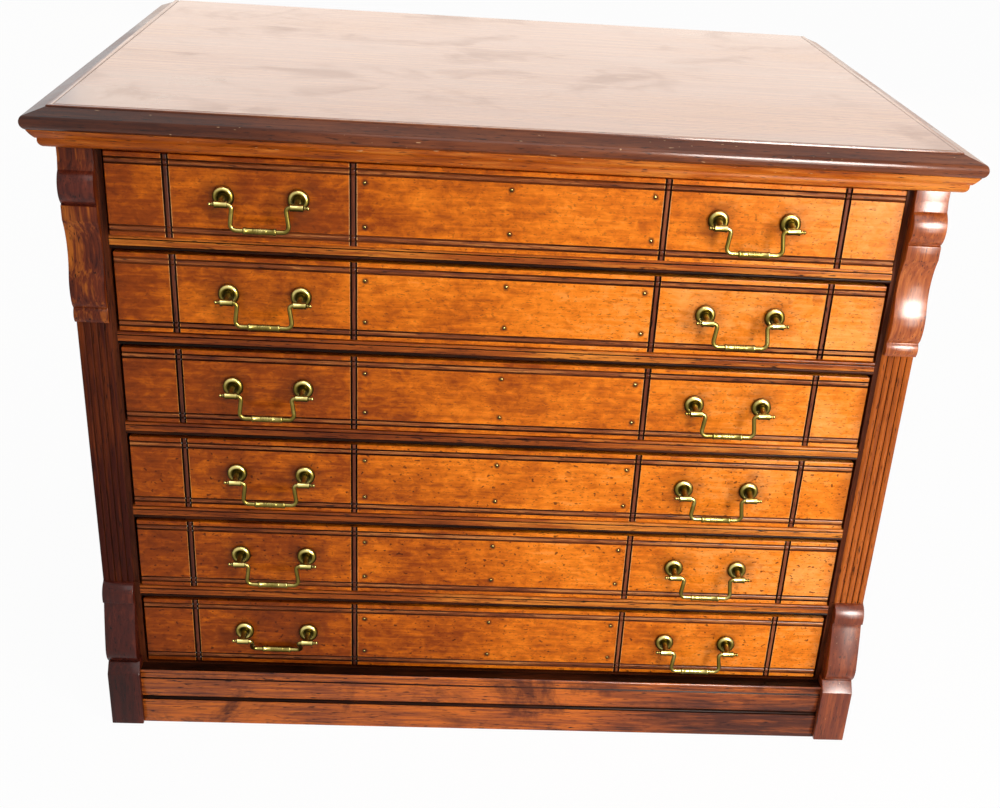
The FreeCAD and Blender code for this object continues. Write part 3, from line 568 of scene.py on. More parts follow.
def editing(piece):
    """Enters edit mode on one piece with all of its mesh selected."""
    only(piece)
    bpy.ops.object.mode_set(mode="EDIT")
    bpy.ops.mesh.select_mode(type="VERT")
    everything()


def done_editing():
    bpy.ops.object.mode_set(mode="OBJECT")


print("pieces can be started")


# %% Select and shape
EPS = 0.02 * MM


def near(value, places, reach=EPS):
    return any(abs(value - place) < reach for place in places)


def pick(piece, kind, test):
    """In edit mode, selects the vertices, edges or faces whose middle passes a test."""
    bpy.ops.mesh.select_mode(type=kind)
    bpy.ops.mesh.select_all(action="DESELECT")
    shape = bmesh.from_edit_mesh(piece.data)
    if kind == "VERT":
        chosen = [part for part in shape.verts if test(part.co)]
    elif kind == "EDGE":
        chosen = [part for part in shape.edges if test((part.verts[0].co + part.verts[1].co) / 2)]
    else:
        chosen = [part for part in shape.faces if test(part.calc_center_median())]
    for part in chosen:
        part.select_set(True)
    shape.select_flush_mode()
    bmesh.update_edit_mesh(piece.data)
    return len(chosen)


def push(x=0.0, y=0.0, z=0.0):
    bpy.ops.transform.translate(value=(x, y, z))


def pull_out(x=0.0, y=0.0, z=0.0):
    """Extrudes what is selected."""
    bpy.ops.mesh.extrude_region_move(TRANSFORM_OT_translate={"value": (x, y, z)})


def cut_through(point, normal):
    """Cuts what is selected with a plane, as a saw line."""
    bpy.ops.mesh.bisect(plane_co=point, plane_no=normal)


def merged(reach_mm):
    """Joins points of the mesh that lie on each other, and selects all of it."""
    everything()
    bpy.ops.mesh.remove_doubles(threshold=reach_mm * MM)
    everything()


def outwards():
    """Turns every face of the mesh to the outside."""
    everything()
    bpy.ops.mesh.normals_make_consistent(inside=False)


print("what counts as on a line, in mm", EPS / MM)


# %% Finish, copy and place
def modify(piece, kind, **settings):
    """Adds one modifier with its settings and applies it."""
    only(piece)
    modifier = piece.modifiers.new(kind.lower(), kind)
    for name, value in settings.items():
        setattr(modifier, name, value)
    bpy.ops.object.modifier_apply(modifier=modifier.name)


def smooth(piece, degrees):
    """Shades a piece smooth, but for edges sharper than an angle."""
    only(piece)
    bpy.ops.mesh.customdata_custom_splitnormals_clear()
    bpy.ops.object.shade_smooth_by_angle(angle=math.radians(degrees))


def finished(piece, *finishes):
    """Gives a piece its finishes, the first of which covers it."""
    for finish in finishes:
        piece.data.materials.append(finish)


def stained(piece, index, test):
    """Gives the faces whose middle passes a test another one of the piece's finishes."""
    editing(piece)
    pick(piece, "FACE", test)
    piece.active_material_index = index
    bpy.ops.object.material_slot_assign()
    done_editing()


def copied(piece, name, move=(0.0, 0.0, 0.0), turn=Matrix()):
    """A copy with its own mesh, turned and moved inside the mesh."""
    mesh = piece.data.copy()
    mesh.name = name
    mesh.transform(turn)
    mesh.transform(Matrix.Translation(move))
    if turn.determinant() < 0:
        mesh.flip_normals()
    twin = bpy.data.objects.new(name, mesh)
    bpy.context.scene.collection.objects.link(twin)
    return twin


def joined(pieces, name):
    """One piece from several."""
    only(*pieces)
    bpy.ops.object.join()
    pieces[0].name = pieces[0].data.name = name
    return pieces[0]


def forget(*pieces):
    for piece in pieces:
        bpy.data.objects.remove(piece)


def set_in_place(piece, body, nodes=()):
    """The piece rides on its body and stands for its CAD nodes, which it hides."""
    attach(piece, body)
    if nodes:
        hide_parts(*nodes)


print("modelling helpers ready")

# %% [markdown]
# ## Where things are
# The face is the plane that the stiles, rails and closed drawers share. Its place, and every
# other place below, comes from the CAD nodes' own boxes or from the same sizes in millimetres
# that the CAD model uses.

# %% Places
FACE_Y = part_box("stile_left")[0].y
SKIN = FACE_Y + 0.6 * MM
FRONT_HEIGHT = 60.0 * MM
DRAWERS = range(1, 7)
drawer_feet = {number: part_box(f"drawer_{number}_front")[0].z for number in DRAWERS}
front_faces = {number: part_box(f"drawer_{number}_front")[0].y for number in DRAWERS}
print("face", round(FACE_Y, 4), "drawer feet", [round(foot, 4) for foot in drawer_feet.values()])

# %% [markdown]
# ## A drawer front
# The front is a maple board. A scratch stock, a small shaped scraper, cut pairs of V grooves
# across it, and what stands between two grooves reads as a raised bead. It could be one
# texture, but the grooves catch the light, so they are cut for real: the face is divided along
# every groove, and the grooves' middle lines are pushed back. The ends and the back are cut
# with the CAD drawer's own sides and bottom, which leaves the dovetail sockets.

# %% Cut the grooves of one front
EDGE_STRIP = 3.2 * MM
BAND = 5.4 * MM
GROOVE = 1.5 * MM
GROOVE_DEPTH = 1.2 * MM
BEAD_EASE = 0.3 * MM
BEAD_CROWN = 0.7 * MM
# Width of the pale strip beside the upright bands: partly wear, partly a painted highlight.
ARRIS_HIGHLIGHT = 0.35 * MM


def beside(places, out):
    """The places on both sides of each given place."""
    return [place + side * out for place in places for side in (-1, 1)]


def score(piece, axis, lines):
    """Divides the face of a piece along lines, each at its place on axis 0 or 2."""
    across = Vector((0, 0, 0))
    across[axis] = 1
    for line in lines:
        pick(piece, "FACE", lambda p: p.y < SKIN)
        cut_through(across * line, across)


band_x = beside([0.0], 115.3 * MM) + beside([0.0], 249.8 * MM)
band_z = [drawer_feet[6] + EDGE_STRIP + BAND / 2, drawer_feet[6] + FRONT_HEIGHT - EDGE_STRIP - BAND / 2]
groove_x, groove_z = (beside(bands, (BAND - GROOVE) / 2) for bands in (band_x, band_z))
bead_x, bead_z = (beside(bands, BAND / 2 - GROOVE) for bands in (band_x, band_z))
side_x, side_z = (beside(bands, BAND / 2) + beside(bands, BEAD_CROWN) for bands in (band_x, band_z))
front = block("front", *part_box("drawer_6_front"))
modify(front, "BEVEL", width=0.5 * MM, segments=2, limit_method="ANGLE", angle_limit=math.radians(60))
editing(front)
score(front, 0, groove_x + bead_x + side_x + beside(band_x, BAND / 2 + ARRIS_HIGHLIGHT))
score(front, 2, groove_z + bead_z + side_z)
count = pick(front, "VERT", lambda p: p.y < SKIN and (near(p.x, groove_x) or near(p.z, groove_z)))
push(y=GROOVE_DEPTH)
pick(front, "VERT", lambda p: p.y < SKIN and (near(p.x, bead_x) or near(p.z, bead_z)))
push(y=BEAD_EASE)
done_editing()
print("groove vertices", count, "faces", len(front.data.polygons))

# %% Colour its bands and cut its sockets
SLOPES = FACE_Y + 1.9 * MM
arris_highlight_x = beside(band_x, (BAND + ARRIS_HIGHLIGHT) / 2)
finished(front, front_wood, band_wood, upright_band, dark_long_grooves, near_black_grooves, highlit_worn_maple)
for index, test in enumerate((
        lambda p: near(p.z, band_z, BAND / 2),
        lambda p: near(p.x, band_x, BAND / 2),
        lambda p: near(p.z, groove_z, GROOVE / 2),
        lambda p: near(p.x, groove_x, GROOVE / 2),
        lambda p: near(p.x, arris_highlight_x, ARRIS_HIGHLIGHT / 2) and not near(p.z, groove_z, GROOVE / 2)), start=1):
    stained(front, index, lambda p: p.y < SLOPES and test(p))
for node_name in ("drawer_6_sides", "drawer_6_bottom"):
    cutter = copied(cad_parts[node_name], "cutter")
    editing(cutter)
    merged(0.001)
    done_editing()
    modify(front, "BOOLEAN", operation="DIFFERENCE", solver="EXACT", object=cutter)
    forget(cutter)
smooth(front, 15.0)
print("front with sockets", len(front.data.polygons), "faces")

# %% Six fronts
for number in DRAWERS:
    move = (0.0, front_faces[number] - front_faces[6], drawer_feet[number] - drawer_feet[6])
    piece = copied(front, f"front_{number}", move)
    set_in_place(piece, f"drawer_{number}", [f"drawer_{number}_front"])
forget(front)
print("fronts set in place")

# %% [markdown]
# ## Brass pins
# Six small brass pins stand in the middle panel of each front, where a label was once held.
# A pin is a short cylinder whose front is drawn in to a low dome.

# %% Pins
PIN_X = (-107.0 * MM, 0.0, 106.0 * MM)
PIN_RISE = (14.5 * MM, 46.5 * MM)
PIN_DOME = ((0.8, 0.22), (0.45, 0.12))  # share of the width, rise in mm
pin = fresh("pin", bpy.ops.mesh.primitive_cylinder_add, vertices=12, radius=1.15 * MM, depth=1.6 * MM,
            rotation=(math.pi / 2, 0, 0))
editing(pin)
pick(pin, "FACE", lambda p: p.y < -0.7 * MM)
for shrink, forward in PIN_DOME:
    pull_out(y=-forward * MM)
    bpy.ops.transform.resize(value=(shrink, 1.0, shrink))
done_editing()
smooth(pin, 50.0)
finished(pin, dull_brass)
for number in DRAWERS:
    pins = [copied(pin, "pin_copy", (x, front_faces[number] + 0.3 * MM, drawer_feet[number] + up))
            for x in PIN_X for up in PIN_RISE]
    set_in_place(joined(pins, f"pins_{number}"), f"drawer_{number}")
forget(pin)
print("pins", len(PIN_X) * len(PIN_RISE) * len(DRAWERS))

# %% [markdown]
# ## A pull's post
# Each bail hangs from two cast posts. A post has a rolled rim against the wood, a dished
# middle, and a stem that leans down a little to the eye, a short barrel that the wire turns
# in. The rim and dish are one profile drawn by extruding a vertex and spun round the post's
# axis. The stem grows out of the dish, and the barrel is a cylinder with a hole through it.

# %% Spin the rosette and draw out the stem
ROUND = 24
ROSETTE = [(0.0, 0.0), (7.3, 0.0), (7.9, 0.5), (8.05, 1.3), (7.9, 2.2), (7.4, 3.1), (6.6, 3.75),
           (5.7, 4.1), (4.8, 4.0), (4.0, 3.55), (3.4, 3.2), (3.0, 3.1)]  # out and forwards, in mm
STEM = [(2.3, -0.1, 0.93), (3.2, -0.4, 0.92), (3.4, -0.7, 0.98), (3.2, -0.75, 1.04)]


def drawn_line(name, points):
    """A line of edges, drawn by extruding one vertex from point to point."""
    start = Vector(points[0])
    line = fresh(name, bpy.ops.mesh.primitive_plane_add, size=0.1 * MM, location=start)
    editing(line)
    bpy.ops.mesh.merge(type="CENTER")
    for here, there in zip(points, points[1:]):
        pull_out(*(Vector(there) - Vector(here)))
    return line


post = drawn_line("post", [(across * MM, -forward * MM, 0.0) for across, forward in ROSETTE])
everything()
bpy.ops.mesh.spin(steps=ROUND, angle=2 * math.pi, center=(0, 0, 0), axis=(0, 1, 0))
merged(0.01)
pick(post, "EDGE", lambda p: math.hypot(p.x, p.z) < 3.1 * MM and p.y < -2.2 * MM)
for forward, down, swell in STEM:
    pull_out(y=-forward * MM, z=down * MM)
    bpy.ops.transform.resize(value=(swell, 1.0, swell))
bpy.ops.mesh.edge_face_add()
outwards()
done_editing()
print("rosette and stem", len(post.data.polygons), "faces")

# %% Bore the barrel
EYE_FORWARD = 15.5 * MM
EYE_BELOW = 2.0 * MM
EYE_RADIUS = 2.6 * MM
EYE_END = 4.75 * MM
WAIST_IN = 2.2 * MM
RIM_IN = 0.8 * MM
RIM_WIDTH = 0.25 * MM
RIM_DROP = 0.2 * MM
HOLE_RADIUS = 1.78 * MM


def end_face(p):
    """True in the middle of the barrel's two end faces."""
    return abs(p.x) > EYE_END - EPS and math.hypot(p.y, p.z) < 0.5 * MM


barrel = fresh("barrel", bpy.ops.mesh.primitive_cylinder_add, vertices=ROUND, radius=EYE_RADIUS,
               depth=2 * EYE_END, rotation=(0, math.pi / 2, 0))
editing(barrel)
for line in beside([0.0], EYE_END - WAIST_IN) + beside([0.0], EYE_END - RIM_IN):
    everything()
    cut_through((line, 0, 0), (1, 0, 0))
pick(barrel, "VERT", lambda p: near(abs(p.x), [EYE_END - WAIST_IN]))
bpy.ops.transform.resize(value=(1.0, 0.90, 0.90))
pick(barrel, "FACE", end_face)
bpy.ops.mesh.inset(thickness=RIM_WIDTH, use_individual=True)
pick(barrel, "VERT", lambda p: abs(p.x) > EYE_END - EPS and math.hypot(p.y, p.z) > EYE_RADIUS - 0.1 * MM)
bpy.ops.transform.resize(value=(1 - RIM_DROP / EYE_END, 1.0, 1.0))
pick(barrel, "FACE", end_face)
bpy.ops.mesh.inset(thickness=EYE_RADIUS - RIM_WIDTH - HOLE_RADIUS, use_individual=True)
pick(barrel, "FACE", end_face)
bpy.ops.mesh.bridge_edge_loops()
outwards()
push(y=-EYE_FORWARD, z=-EYE_BELOW)
done_editing()
post = joined([post, barrel], "post")
smooth(post, 40.0)
finished(post, brass)
print("post", len(post.data.polygons), "faces", [round(side / MM, 1) for side in post.dimensions])

# %% Twenty-four posts
for number in DRAWERS:
    posts = [copied(post, "post_copy", (x, front_faces[number], drawer_feet[number] + POST_RISE))
             for x in beside([-PULL_X, PULL_X], HALF_SPACING)]
    piece = joined(posts, f"pull_posts_{number}")
    set_in_place(piece, f"drawer_{number}", [f"drawer_{number}_pull_posts"])
forget(post)
print("posts set in place")

# %% [markdown]
# ## A bail
# The bail is one wire: a turned finial outside each eye, the journal inside it, a bend down, a
# leg, a wide bend, and a thicker turned grip with fine rings. One half is drawn as a tube from
# the finial's tip: a disc is extruded along each straight run, resized for the turned parts,
# and spun round each bend. A mirror makes the other half.

# %% Draw a finial and the wire's first bend
WIRE = 1.7
TIP = 0.5
FLARE = math.radians(7.8)
BEND = math.pi / 2 + FLARE
SHOULDER = 2.9 * MM
KNEE = 4.3 * MM
DROP = 18.0 * MM
CORNER_X = HALF_SPACING - 8.0 * MM
# The next ring's distance on and its radius, in mm, from the tip to the journal.
FINIAL = [(0.25, 1.05), (0.45, 1.4), (0.5, 1.5), (0.5, 1.3), (0.3, 0.85), (0.35, 0.85), (0.3, 1.25),
          (0.4, 1.6), (0.4, 1.6), (0.35, 1.3), (0.3, 1.15), (0.25, 1.65)]


def turned(rings, radius):
    """Draws turned work on towards the middle, ring by ring, from the radius that it has now."""
    for step, next_radius in rings:
        pull_out(x=-step * MM)
        swell = next_radius / radius
        bpy.ops.transform.resize(value=(1.0, swell, swell))
        radius = next_radius


tip_x = HALF_SPACING + EYE_END + sum(step for step, radius in FINIAL) * MM
bail = fresh("bail", bpy.ops.mesh.primitive_circle_add, vertices=16, radius=TIP * MM, fill_type="NGON",
             location=(tip_x, 0, 0), rotation=(0, math.pi / 2, 0))
shoulder_reach = SHOULDER * math.tan(BEND / 2)
bend_start = CORNER_X + shoulder_reach
journal = [(0.05, WIRE), ((HALF_SPACING + EYE_END - bend_start) / MM - 0.05, WIRE)]
editing(bail)
turned(FINIAL + journal, TIP)
bpy.ops.mesh.spin(steps=8, angle=BEND, center=(bend_start, 0, -SHOULDER), axis=(0, 1, 0))
print("tip to bend in mm", round((tip_x - bend_start) / MM, 1))

# %% Draw its leg, knee and grip, and mirror it
GRIP_START = 12.3
# Each ring's distance from the middle and its radius, in mm.
GRIP = [(GRIP_START, WIRE), (11.9, 2.45), (11.5, 2.7), (10.2, 2.7), (9.9, 2.45), (5.2, 2.35), (4.9, 2.6),
        (4.4, 2.6), (4.1, 2.3), (3.3, 2.3), (3.0, 2.6), (2.5, 2.6), (2.2, 2.3), (1.4, 2.3), (1.1, 2.65),
        (0.5, 2.65), (0.3, 2.35), (0.0, 2.35)]
leg = Vector((math.sin(FLARE), 0, -math.cos(FLARE)))
inward = Vector((-math.cos(FLARE), 0, -math.sin(FLARE)))
leg_length = DROP / math.cos(FLARE) - shoulder_reach - KNEE * math.tan(BEND / 2)
pull_out(*(leg * leg_length))
knee_middle = Vector((CORNER_X, 0, 0)) + leg * (shoulder_reach + leg_length) + inward * KNEE
bpy.ops.mesh.spin(steps=10, angle=BEND, center=knee_middle, axis=(0, -1, 0))
ring = [vertex.co.x for vertex in bmesh.from_edit_mesh(bail.data).verts if vertex.select]
places = [sum(ring) / len(ring) / MM] + [place for place, radius in GRIP]
turned([(before - place, radius) for before, (place, radius) in zip(places, GRIP)], WIRE)
bpy.ops.mesh.delete(type="ONLY_FACE")
outwards()
done_editing()
modify(bail, "MIRROR", use_axis=(True, False, False), merge_threshold=EPS)
editing(bail)
outwards()
done_editing()
smooth(bail, 40.0)
finished(bail, wire_brass)
print("bail", len(bail.data.polygons), "faces", [round(side / MM, 1) for side in bail.dimensions])

# %% Twelve bails, one of them pushed back
PUSHED_BACK = "bail_left_6"
PUSHED_DEGREES = 40.0
for number in DRAWERS:
    for side, pull in (("left", -PULL_X), ("right", PULL_X)):
        name = f"bail_{side}_{number}"
        degrees = PUSHED_DEGREES if name == PUSHED_BACK else 0.0
        eye = (pull, front_faces[number] - EYE_FORWARD, drawer_feet[number] + POST_RISE - EYE_BELOW)
        piece = copied(bail, name, eye, Matrix.Rotation(math.radians(degrees), 4, "X"))
        node_name = f"drawer_{number}_bail_{side}"
        set_in_place(piece, node_name, [node_name])
forget(bail)
print("bails set in place")

# %% [markdown]
# ## Mouldings
# A joiner runs a moulding with planes whose irons have its section. Here its section is drawn
# by extruding a vertex round the outline, filled, and extruded along the length. An arc is
# opened into short steps first. The crisp corners then get a small bevel, because a hundred
# years of dusting rounds every arris, and a bevel gives the light an edge to catch.

# %% Helpers for sections
def arc(start, middle, end, steps):
    """Points after the start on the circle through three points of a section."""
    start, middle, end = (complex(*point) for point in (start, middle, end))
    ratio = (end - start) / (middle - start)
    centre = start - (start - middle) * (ratio - abs(ratio) ** 2) / (2j * ratio.imag)
    whole = cmath.phase((end - centre) / (start - centre))
    part = cmath.phase((middle - centre) / (start - centre))
    if part * whole < 0 or abs(part) > abs(whole):
        whole -= math.copysign(2 * math.pi, whole)
    spots = [centre + (start - centre) * cmath.exp(1j * whole * step / steps)
             for step in range(1, steps + 1)]
    return [(spot.real, spot.imag) for spot in spots]


def opened(outline, base, steps):
    """An outline in millimetres whose (middle, end) pairs are opened into arcs, in metres."""
    points = [outline[0]]
    for step in outline[1:]:
        points += arc(points[-1], *step, steps) if isinstance(step[0], tuple) else [step]
    return [(out * MM, (base + up) * MM) for out, up in points]


def outline_of(name, points):
    """Draws a closed outline of edges and leaves it selected in edit mode."""
    line = drawn_line(name, points + points[:1])
    merged(0.005)
    return line


def moulding(name, outline, base, x_low, x_high, steps=10):
    """A length of moulding along x. Its section is (forward, up from the base) in millimetres."""
    points = [(x_low * MM, FACE_Y - forward, up) for forward, up in opened(outline, base, steps)]
    piece = outline_of(name, points)
    bpy.ops.mesh.edge_face_add()
    pull_out(x=(x_high - x_low) * MM)
    outwards()
    done_editing()
    return piece


def eased(piece, width, above=38.0, segments=2):
    """Rounds the arrises of a finished shape and shades it smooth between what stays crisp."""
    modify(piece, "BEVEL", width=width * MM, segments=segments, limit_method="ANGLE",
           angle_limit=math.radians(above), use_clamp_overlap=True, harden_normals=False)
    smooth(piece, 30.0)
    return piece


print("an arc of a roll", [(round(x, 1), round(y, 1)) for x, y in arc((9.5, 0), (16.2, 12), (9.5, 24), 4)])

# %% [markdown]
# ## The top
# The top is a flat board with a moulded edge on three sides: a small quirk, a long bevel and a
# rounded nose. A fine line is cut just inside the quirk. Here the moulded edge is one mitred
# frame whose inner edge is half of that line, and the board inside it has the other half. A
# mitred moulding is drawn along one side, cut at 45 degrees, drawn on from the cut along half
# of the front, and mirrored.

# %% Helper for mitred mouldings
EDGE_LINE = 320.8
PAST_CORNER = 60.0 * MM


def mitred(name, outline, base, back_y):
    """A moulding on the front and both sides, mitred at the corners, given as (out, up)."""
    line_x = EDGE_LINE * MM
    piece = outline_of(name, [(line_x + out, back_y, up) for out, up in opened(outline, base, 8)])
    pull_out(y=FACE_Y - PAST_CORNER - back_y)
    everything()
    bpy.ops.mesh.bisect(plane_co=(line_x, FACE_Y, 0), plane_no=(1, 1, 0), clear_inner=True)
    pick(piece, "EDGE", lambda p: near(p.x + p.y, [line_x + FACE_Y]))
    pull_out(x=-line_x - PAST_CORNER)
    everything()
    bpy.ops.mesh.bisect(plane_co=(0, 0, 0), plane_no=(1, 0, 0), clear_inner=True)
    pick(piece, "EDGE", lambda p: p.y > back_y - EPS)
    bpy.ops.mesh.edge_face_add()
    done_editing()
    modify(piece, "MIRROR", use_axis=(True, False, False), merge_threshold=EPS)
    editing(piece)
    outwards()
    done_editing()
    return piece


print("the corner stands out", EDGE_LINE, "mm from the middle")

# %% Top board and its moulded edge
HEAD = 512.0
CORNICE_TOP = 497.0
QUIRK_OUT = 8.1
LINE_OUT = QUIRK_OUT - 4.3
LINE_HALF = 0.7
LINE_DEPTH = 0.8
THICKNESS = HEAD - CORNICE_TOP
top_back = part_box("top_board")[1].y
edge_outline = [
    (LINE_OUT, THICKNESS - LINE_DEPTH),
    (LINE_OUT + LINE_HALF, THICKNESS),
    (QUIRK_OUT, THICKNESS),
    (QUIRK_OUT, THICKNESS - 1.2),
    (22.3, 9.4),
    ((24.0, 4.7), (20.7, 0.0)),
    (LINE_OUT, 0.0),
]
top_edge = eased(mitred("top_edge", edge_outline, CORNICE_TOP, top_back), width=0.45, above=20.0)
finished(top_edge, top_wood, edge_wood)
stained(top_edge, 1, lambda p: p.z < (HEAD - 0.3) * MM)
field_x = (EDGE_LINE + LINE_OUT) * MM
field = block("top_field", (-field_x, FACE_Y - LINE_OUT * MM, CORNICE_TOP * MM),
              (field_x, top_back, HEAD * MM))
finished(field, top_wood)
editing(field)
pick(field, "EDGE", lambda p: p.z > HEAD * MM - EPS and p.y < top_back - EPS)
bpy.ops.mesh.bevel(offset=LINE_HALF * MM, segments=1)
outwards()
done_editing()
smooth(field, 10.0)
top = joined([top_edge, field], "moulded_top")
set_in_place(top, "case", ["top_board"])
print("top", len(top.data.polygons), "faces")

# %% [markdown]
# ## The cornice
# Under the top runs a bed moulding: an ovolo, a small step, and a hollow that opens out to the
# nose. It is mitred like the top's edge.

# %% Cornice
CORNICE_FOOT = 484.4
cornice_outline = [
    (0.0, 0.0),
    (11.5, 0.0),
    ((13.9, 1.6), (14.9, 5.4)),
    (14.9, 6.4),
    (15.9, 6.4),
    ((18.3, 8.9), (20.7, 12.6)),
    (0.0, 12.6),
]
cornice_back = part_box("cornice")[1].y
cornice = eased(mitred("cornice_moulding", cornice_outline, CORNICE_FOOT, cornice_back), width=0.3)
finished(cornice, cornice_wood)
set_in_place(cornice, "case", ["cornice"])
print("cornice", len(cornice.data.polygons), "faces")

# %% [markdown]
# ## The brackets
# Each upper bracket is sawn and carved from one thick block: a cap, a roll, a fillet, a long
# hollow that swells into a belly, and an astragal, which is a half-round, at the foot.

# %% Brackets
STILE_OUTER = 325.0
STILE_INNER = 299.5
BRACKET_LENGTH = 129.0
BRACKET_FOOT = CORNICE_FOOT - BRACKET_LENGTH
bracket_outline = [  # down from the cornice
    (-0.2, 0.0),
    (7.3, 0.0),
    (7.3, -8.0),
    (9.5, -16.0),
    (10.2, -16.4),
    ((16.2, -28.0), (10.2, -39.6)),
    (9.5, -40.0),
    (11.5, -41.0),
    (11.5, -51.0),
    ((4.9, -73.6), (7.75, -90.0)),
    ((10.6, -102.5), (7.75, -115.0)),
    (4.9, -118.0),
    (5.2, -118.6),
    ((7.0, -123.4), (5.2, -128.2)),
    (4.9, -BRACKET_LENGTH),
    (-0.2, -BRACKET_LENGTH),
]
bracket = moulding("bracket", bracket_outline, CORNICE_FOOT, STILE_INNER, STILE_OUTER, 14)
eased(bracket, width=0.5)
print("bracket", len(bracket.data.polygons), "faces")

# %% [markdown]
# ## The feet
# Each foot is a roll, a belly that swells downwards, and a plain shoe on the floor, a little
# wider than the rest.

# %% Feet
FOOT_HEAD = 131.0
SHOE_HEAD = 59.0
SHOE_WIDER = 1.5
foot_outline = [
    (-0.2, FOOT_HEAD),
    (0.6, FOOT_HEAD),
    ((7.1, FOOT_HEAD - 4.5), (9.5, FOOT_HEAD - 14.4)),
    (9.5, FOOT_HEAD - 16.0),
    (6.0, FOOT_HEAD - 17.0),
    (6.0, FOOT_HEAD - 19.0),
    ((12.4, 90.8), (16.5, 73.8)),
    ((15.3, 64.8), (10.5, SHOE_HEAD)),
    (-0.2, SHOE_HEAD),
]
shoe_outline = [
    (-0.2, 0.0),
    (19.0, 0.0),
    (19.0, SHOE_HEAD - 9.0),
    (10.5, SHOE_HEAD - 0.02),
    (-0.2, SHOE_HEAD - 0.02),
]
scroll = moulding("scroll", foot_outline, 0.0, STILE_INNER, STILE_OUTER, 14)
shoe = moulding("shoe", shoe_outline, 0.0, STILE_INNER - SHOE_WIDER, STILE_OUTER)
eased(scroll, width=0.5)
eased(shoe, width=0.8, segments=3)
foot = joined([scroll, shoe], "foot")
print("foot", len(foot.data.polygons), "faces")

# %% [markdown]
# ## The stiles
# A stile is the upright at the edge of the face. Five reeds are scratched into it between the
# bracket and the foot. They are cut like the drawer fronts' grooves: the face is divided along
# the reeds, the valleys are pushed back, and the lines beside them a little, which rounds them.

# %% Stiles
HALF_OPENING = 295.0
REEDS = 5
REED = (STILE_OUTER - STILE_INNER) / REEDS
REED_SECTION = ((0.0, 1.2), (0.07, 0.62), (0.18, 0.26), (0.32, 0.06), (0.5, 0.0), (0.68, 0.06),
                (0.82, 0.26), (0.93, 0.62))  # share of the reed's width, how far back in mm
stile = block("stile", (HALF_OPENING * MM, FACE_Y, 0.0),
              (STILE_OUTER * MM, FACE_Y + 20.0 * MM, CORNICE_TOP * MM))
editing(stile)
for line in (FOOT_HEAD, FOOT_HEAD + 0.1, BRACKET_FOOT - 0.1, BRACKET_FOOT):
    everything()
    cut_through((0, 0, line * MM), (0, 0, 1))
reed_steps = {(STILE_INNER + (index + share) * REED) * MM: back
              for index in range(REEDS) for share, back in REED_SECTION}
score(stile, 0, reed_steps)
reed_steps[STILE_OUTER * MM] = 1.0
for line, back in reed_steps.items():
    pick(stile, "VERT", lambda p: p.y < SKIN and near(p.x, [line])
         and FOOT_HEAD * MM + EPS < p.z < BRACKET_FOOT * MM - EPS)
    push(y=back * MM)
done_editing()
valleys = [(STILE_INNER + index * REED) * MM for index in range(1, REEDS)]
finished(stile, stile_wood, shade_and_stain_strip)
# The strip beside the drawers and the reeds' valleys take painted shade, with some dark stain on the strip.
stained(stile, 1, lambda p: p.x < STILE_INNER * MM + EPS or near(p.x, valleys, 0.07 * REED * MM))
smooth(stile, 48.0)
print("stile", len(stile.data.polygons), "faces")

# %% [markdown]
# The left side is the right one mirrored. Each side has its own finishes, and the roll of the
# left bracket is as dark as the foot below it.

# %% Both sides of the face
ROLL_HEAD = (CORNICE_FOOT - 15.9) * MM
ROLL_FOOT = (CORNICE_FOOT - 40.6) * MM
for side, turn, bracket_woods, foot_finish in (
        ("right", Matrix(), [right_wood], foot_wood),
        ("left", Matrix.Scale(-1, 4, (1, 0, 0)), [left_wood, left_foot_wood], left_foot_wood)):
    for piece, node_name, finishes in (
            (bracket, "upper_bracket", bracket_woods),
            (foot, "foot", [foot_finish]),
            (stile, "stile", [])):
        twin = copied(piece, f"{piece.name}_{side}_carved", turn=turn)
        finished(twin, *finishes)
        if len(finishes) > 1:
            stained(twin, 1, lambda p: ROLL_FOOT < p.z < ROLL_HEAD)
        set_in_place(twin, "case", [f"{node_name}_{side}"])
forget(bracket, foot, stile)
print("brackets, feet and stiles set in place")

# %% [markdown]
# ## The plinth
# The base board between the feet has a deep hollow groove, a raised flat band and a small bead
# at its top. The hollow, the band's upper edge, the bead's foot and the ledge on top are dark:
# partly grime, partly painted shade, most of all on the ledge under the lowest drawer.

# %% Plinth
PLINTH_HEAD = 52.5
PLINTH_HALF = STILE_INNER - SHOE_WIDER
plinth_outline = [
    (0.0, 0.0),
    (14.2, 0.0),
    (14.2, 22.7),
    ((12.0, 24.6), (13.2, 26.5)),
    (13.2, 29.0),
    (14.2, 29.0),
    (14.2, 44.0),
    (13.2, 45.0),
    (13.2, PLINTH_HEAD - 3.0),
    ((14.2, PLINTH_HEAD - 1.5), (13.2, PLINTH_HEAD)),
    (0.0, PLINTH_HEAD),
]
plinth = eased(moulding("plinth_board", plinth_outline, 0.0, -PLINTH_HALF, PLINTH_HALF, 6), width=0.3)
finished(plinth, plinth_wood, shade_and_grime_edge)
# Painted shade with some grime on the hollow, the band's edges and the ledge under the lowest drawer.
stained(plinth, 1, lambda p: (22.75 * MM < p.z < 26.0 * MM and p.y < FACE_Y - 10.0 * MM
                              or near(p.z, [44.5 * MM, 49.5 * MM], 0.45 * MM)
                              or p.z > PLINTH_HEAD * MM - EPS and p.y > FACE_Y - 13.0 * MM))
set_in_place(plinth, "case", ["plinth"])
print("plinth", len(plinth.data.polygons), "faces")

# %% [markdown]
# ## The rails
# A rail under each drawer but the lowest has a broad bead between two fine ones on its edge. The
# stiles' mortises hide its tenons. Its lowest bead and the quirk under the upper are dark: partly
# grime, partly painted shade under the proud drawer above.

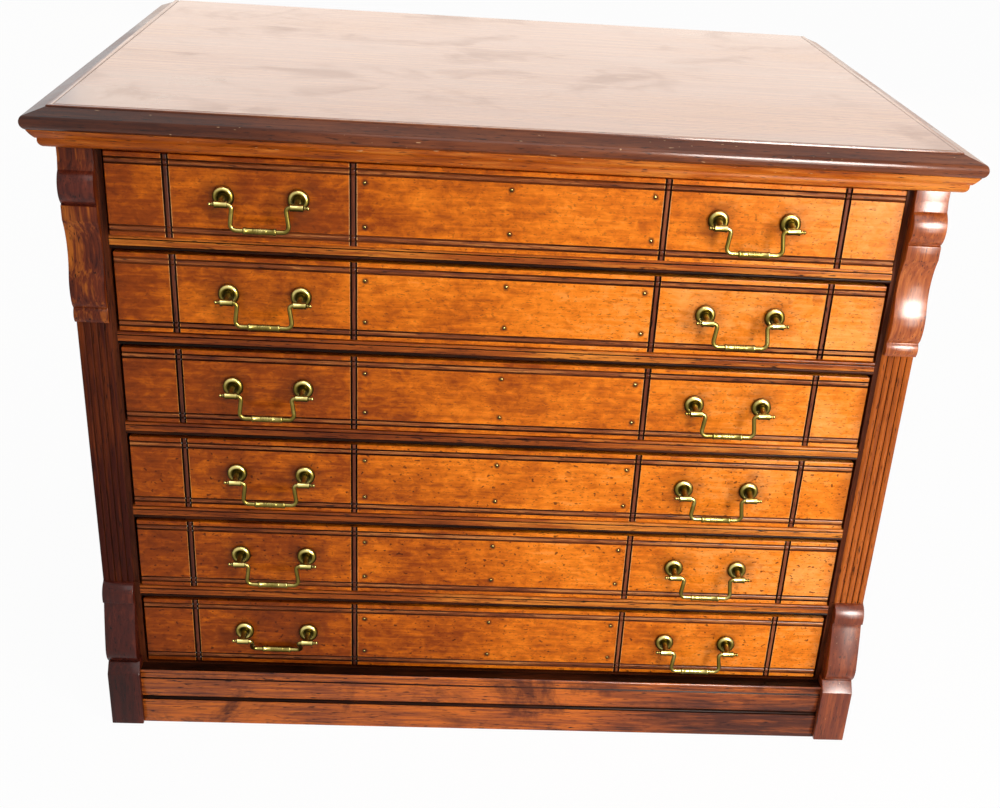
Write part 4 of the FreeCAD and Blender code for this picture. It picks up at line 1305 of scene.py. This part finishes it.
# %% Divider rails
RAIL = 10.0
BEAD = 2.6
TENON = 8.0
rail_outline = [
    (-20.0, 0.0),
    (-0.9, 0.0),
    ((0.0, BEAD / 2), (-0.9, BEAD)),
    ((0.0, 2.9), (0.1, 3.6)),
    (0.1, RAIL - 3.6),
    ((0.0, RAIL - 2.9), (-0.9, RAIL - BEAD)),
    ((0.0, RAIL - BEAD / 2), (-0.9, RAIL)),
    (-20.0, RAIL),
]
rail_lows = [drawer_feet[number] / MM - 1.0 - RAIL for number in DRAWERS if number < 6]
rails = []
for low in rail_lows:
    rail = moulding("rail", rail_outline, low, -HALF_OPENING, HALF_OPENING, 5)
    tenon = fresh("tenon", bpy.ops.mesh.primitive_cube_add, size=1.0,
                  scale=(2 * (HALF_OPENING + TENON) * MM, 8.0 * MM, RAIL * MM),
                  location=(0, FACE_Y + 10.0 * MM, (low + RAIL / 2) * MM))
    modify(rail, "BOOLEAN", operation="UNION", solver="EXACT", object=tenon)
    forget(tenon)
    smooth(rail, 40.0)
    rails.append(rail)
rails = joined(rails, "reeded_rails")
finished(rails, rail_wood, shade_and_grime_edge)
rail_feet = [low * MM for low in rail_lows]
quirks = [(low + RAIL - BEAD) * MM for low in rail_lows]
# Painted shade with some grime on each rail's lowest bead and the quirk under its upper one.
stained(rails, 1, lambda p: near(p.z, rail_feet) or p.y < FACE_Y + 1.0 * MM
        and (near(p.z, rail_feet, (BEAD + 0.1) * MM) or near(p.z, quirks, 0.3 * MM)))
set_in_place(rails, "case", ["divider_rails"])
print("rails", len(rails.data.polygons), "faces")

# %% [markdown]
# ## The frame's own pieces
# A CAD node whose shape is right keeps it and only gets its finish. The drawers' sides, backs and
# bottoms are bare poplar.

# %% Finishes for the CAD nodes
# The bottom board shows only in the gap under the lowest drawer, and its dark finish there is painted
# shade.
CASE_FINISHES = {"top_rail": rail_wood, "back_panel": inner_wood, "runners": inner_wood,
                 "bottom_board": shade_and_stain_strip}
for name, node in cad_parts.items():
    finish = side_wood if name.startswith("side_") else CASE_FINISHES.get(name, box_wood)
    for slot in node.material_slots:
        slot.material = finish
print("finished nodes", len(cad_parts))
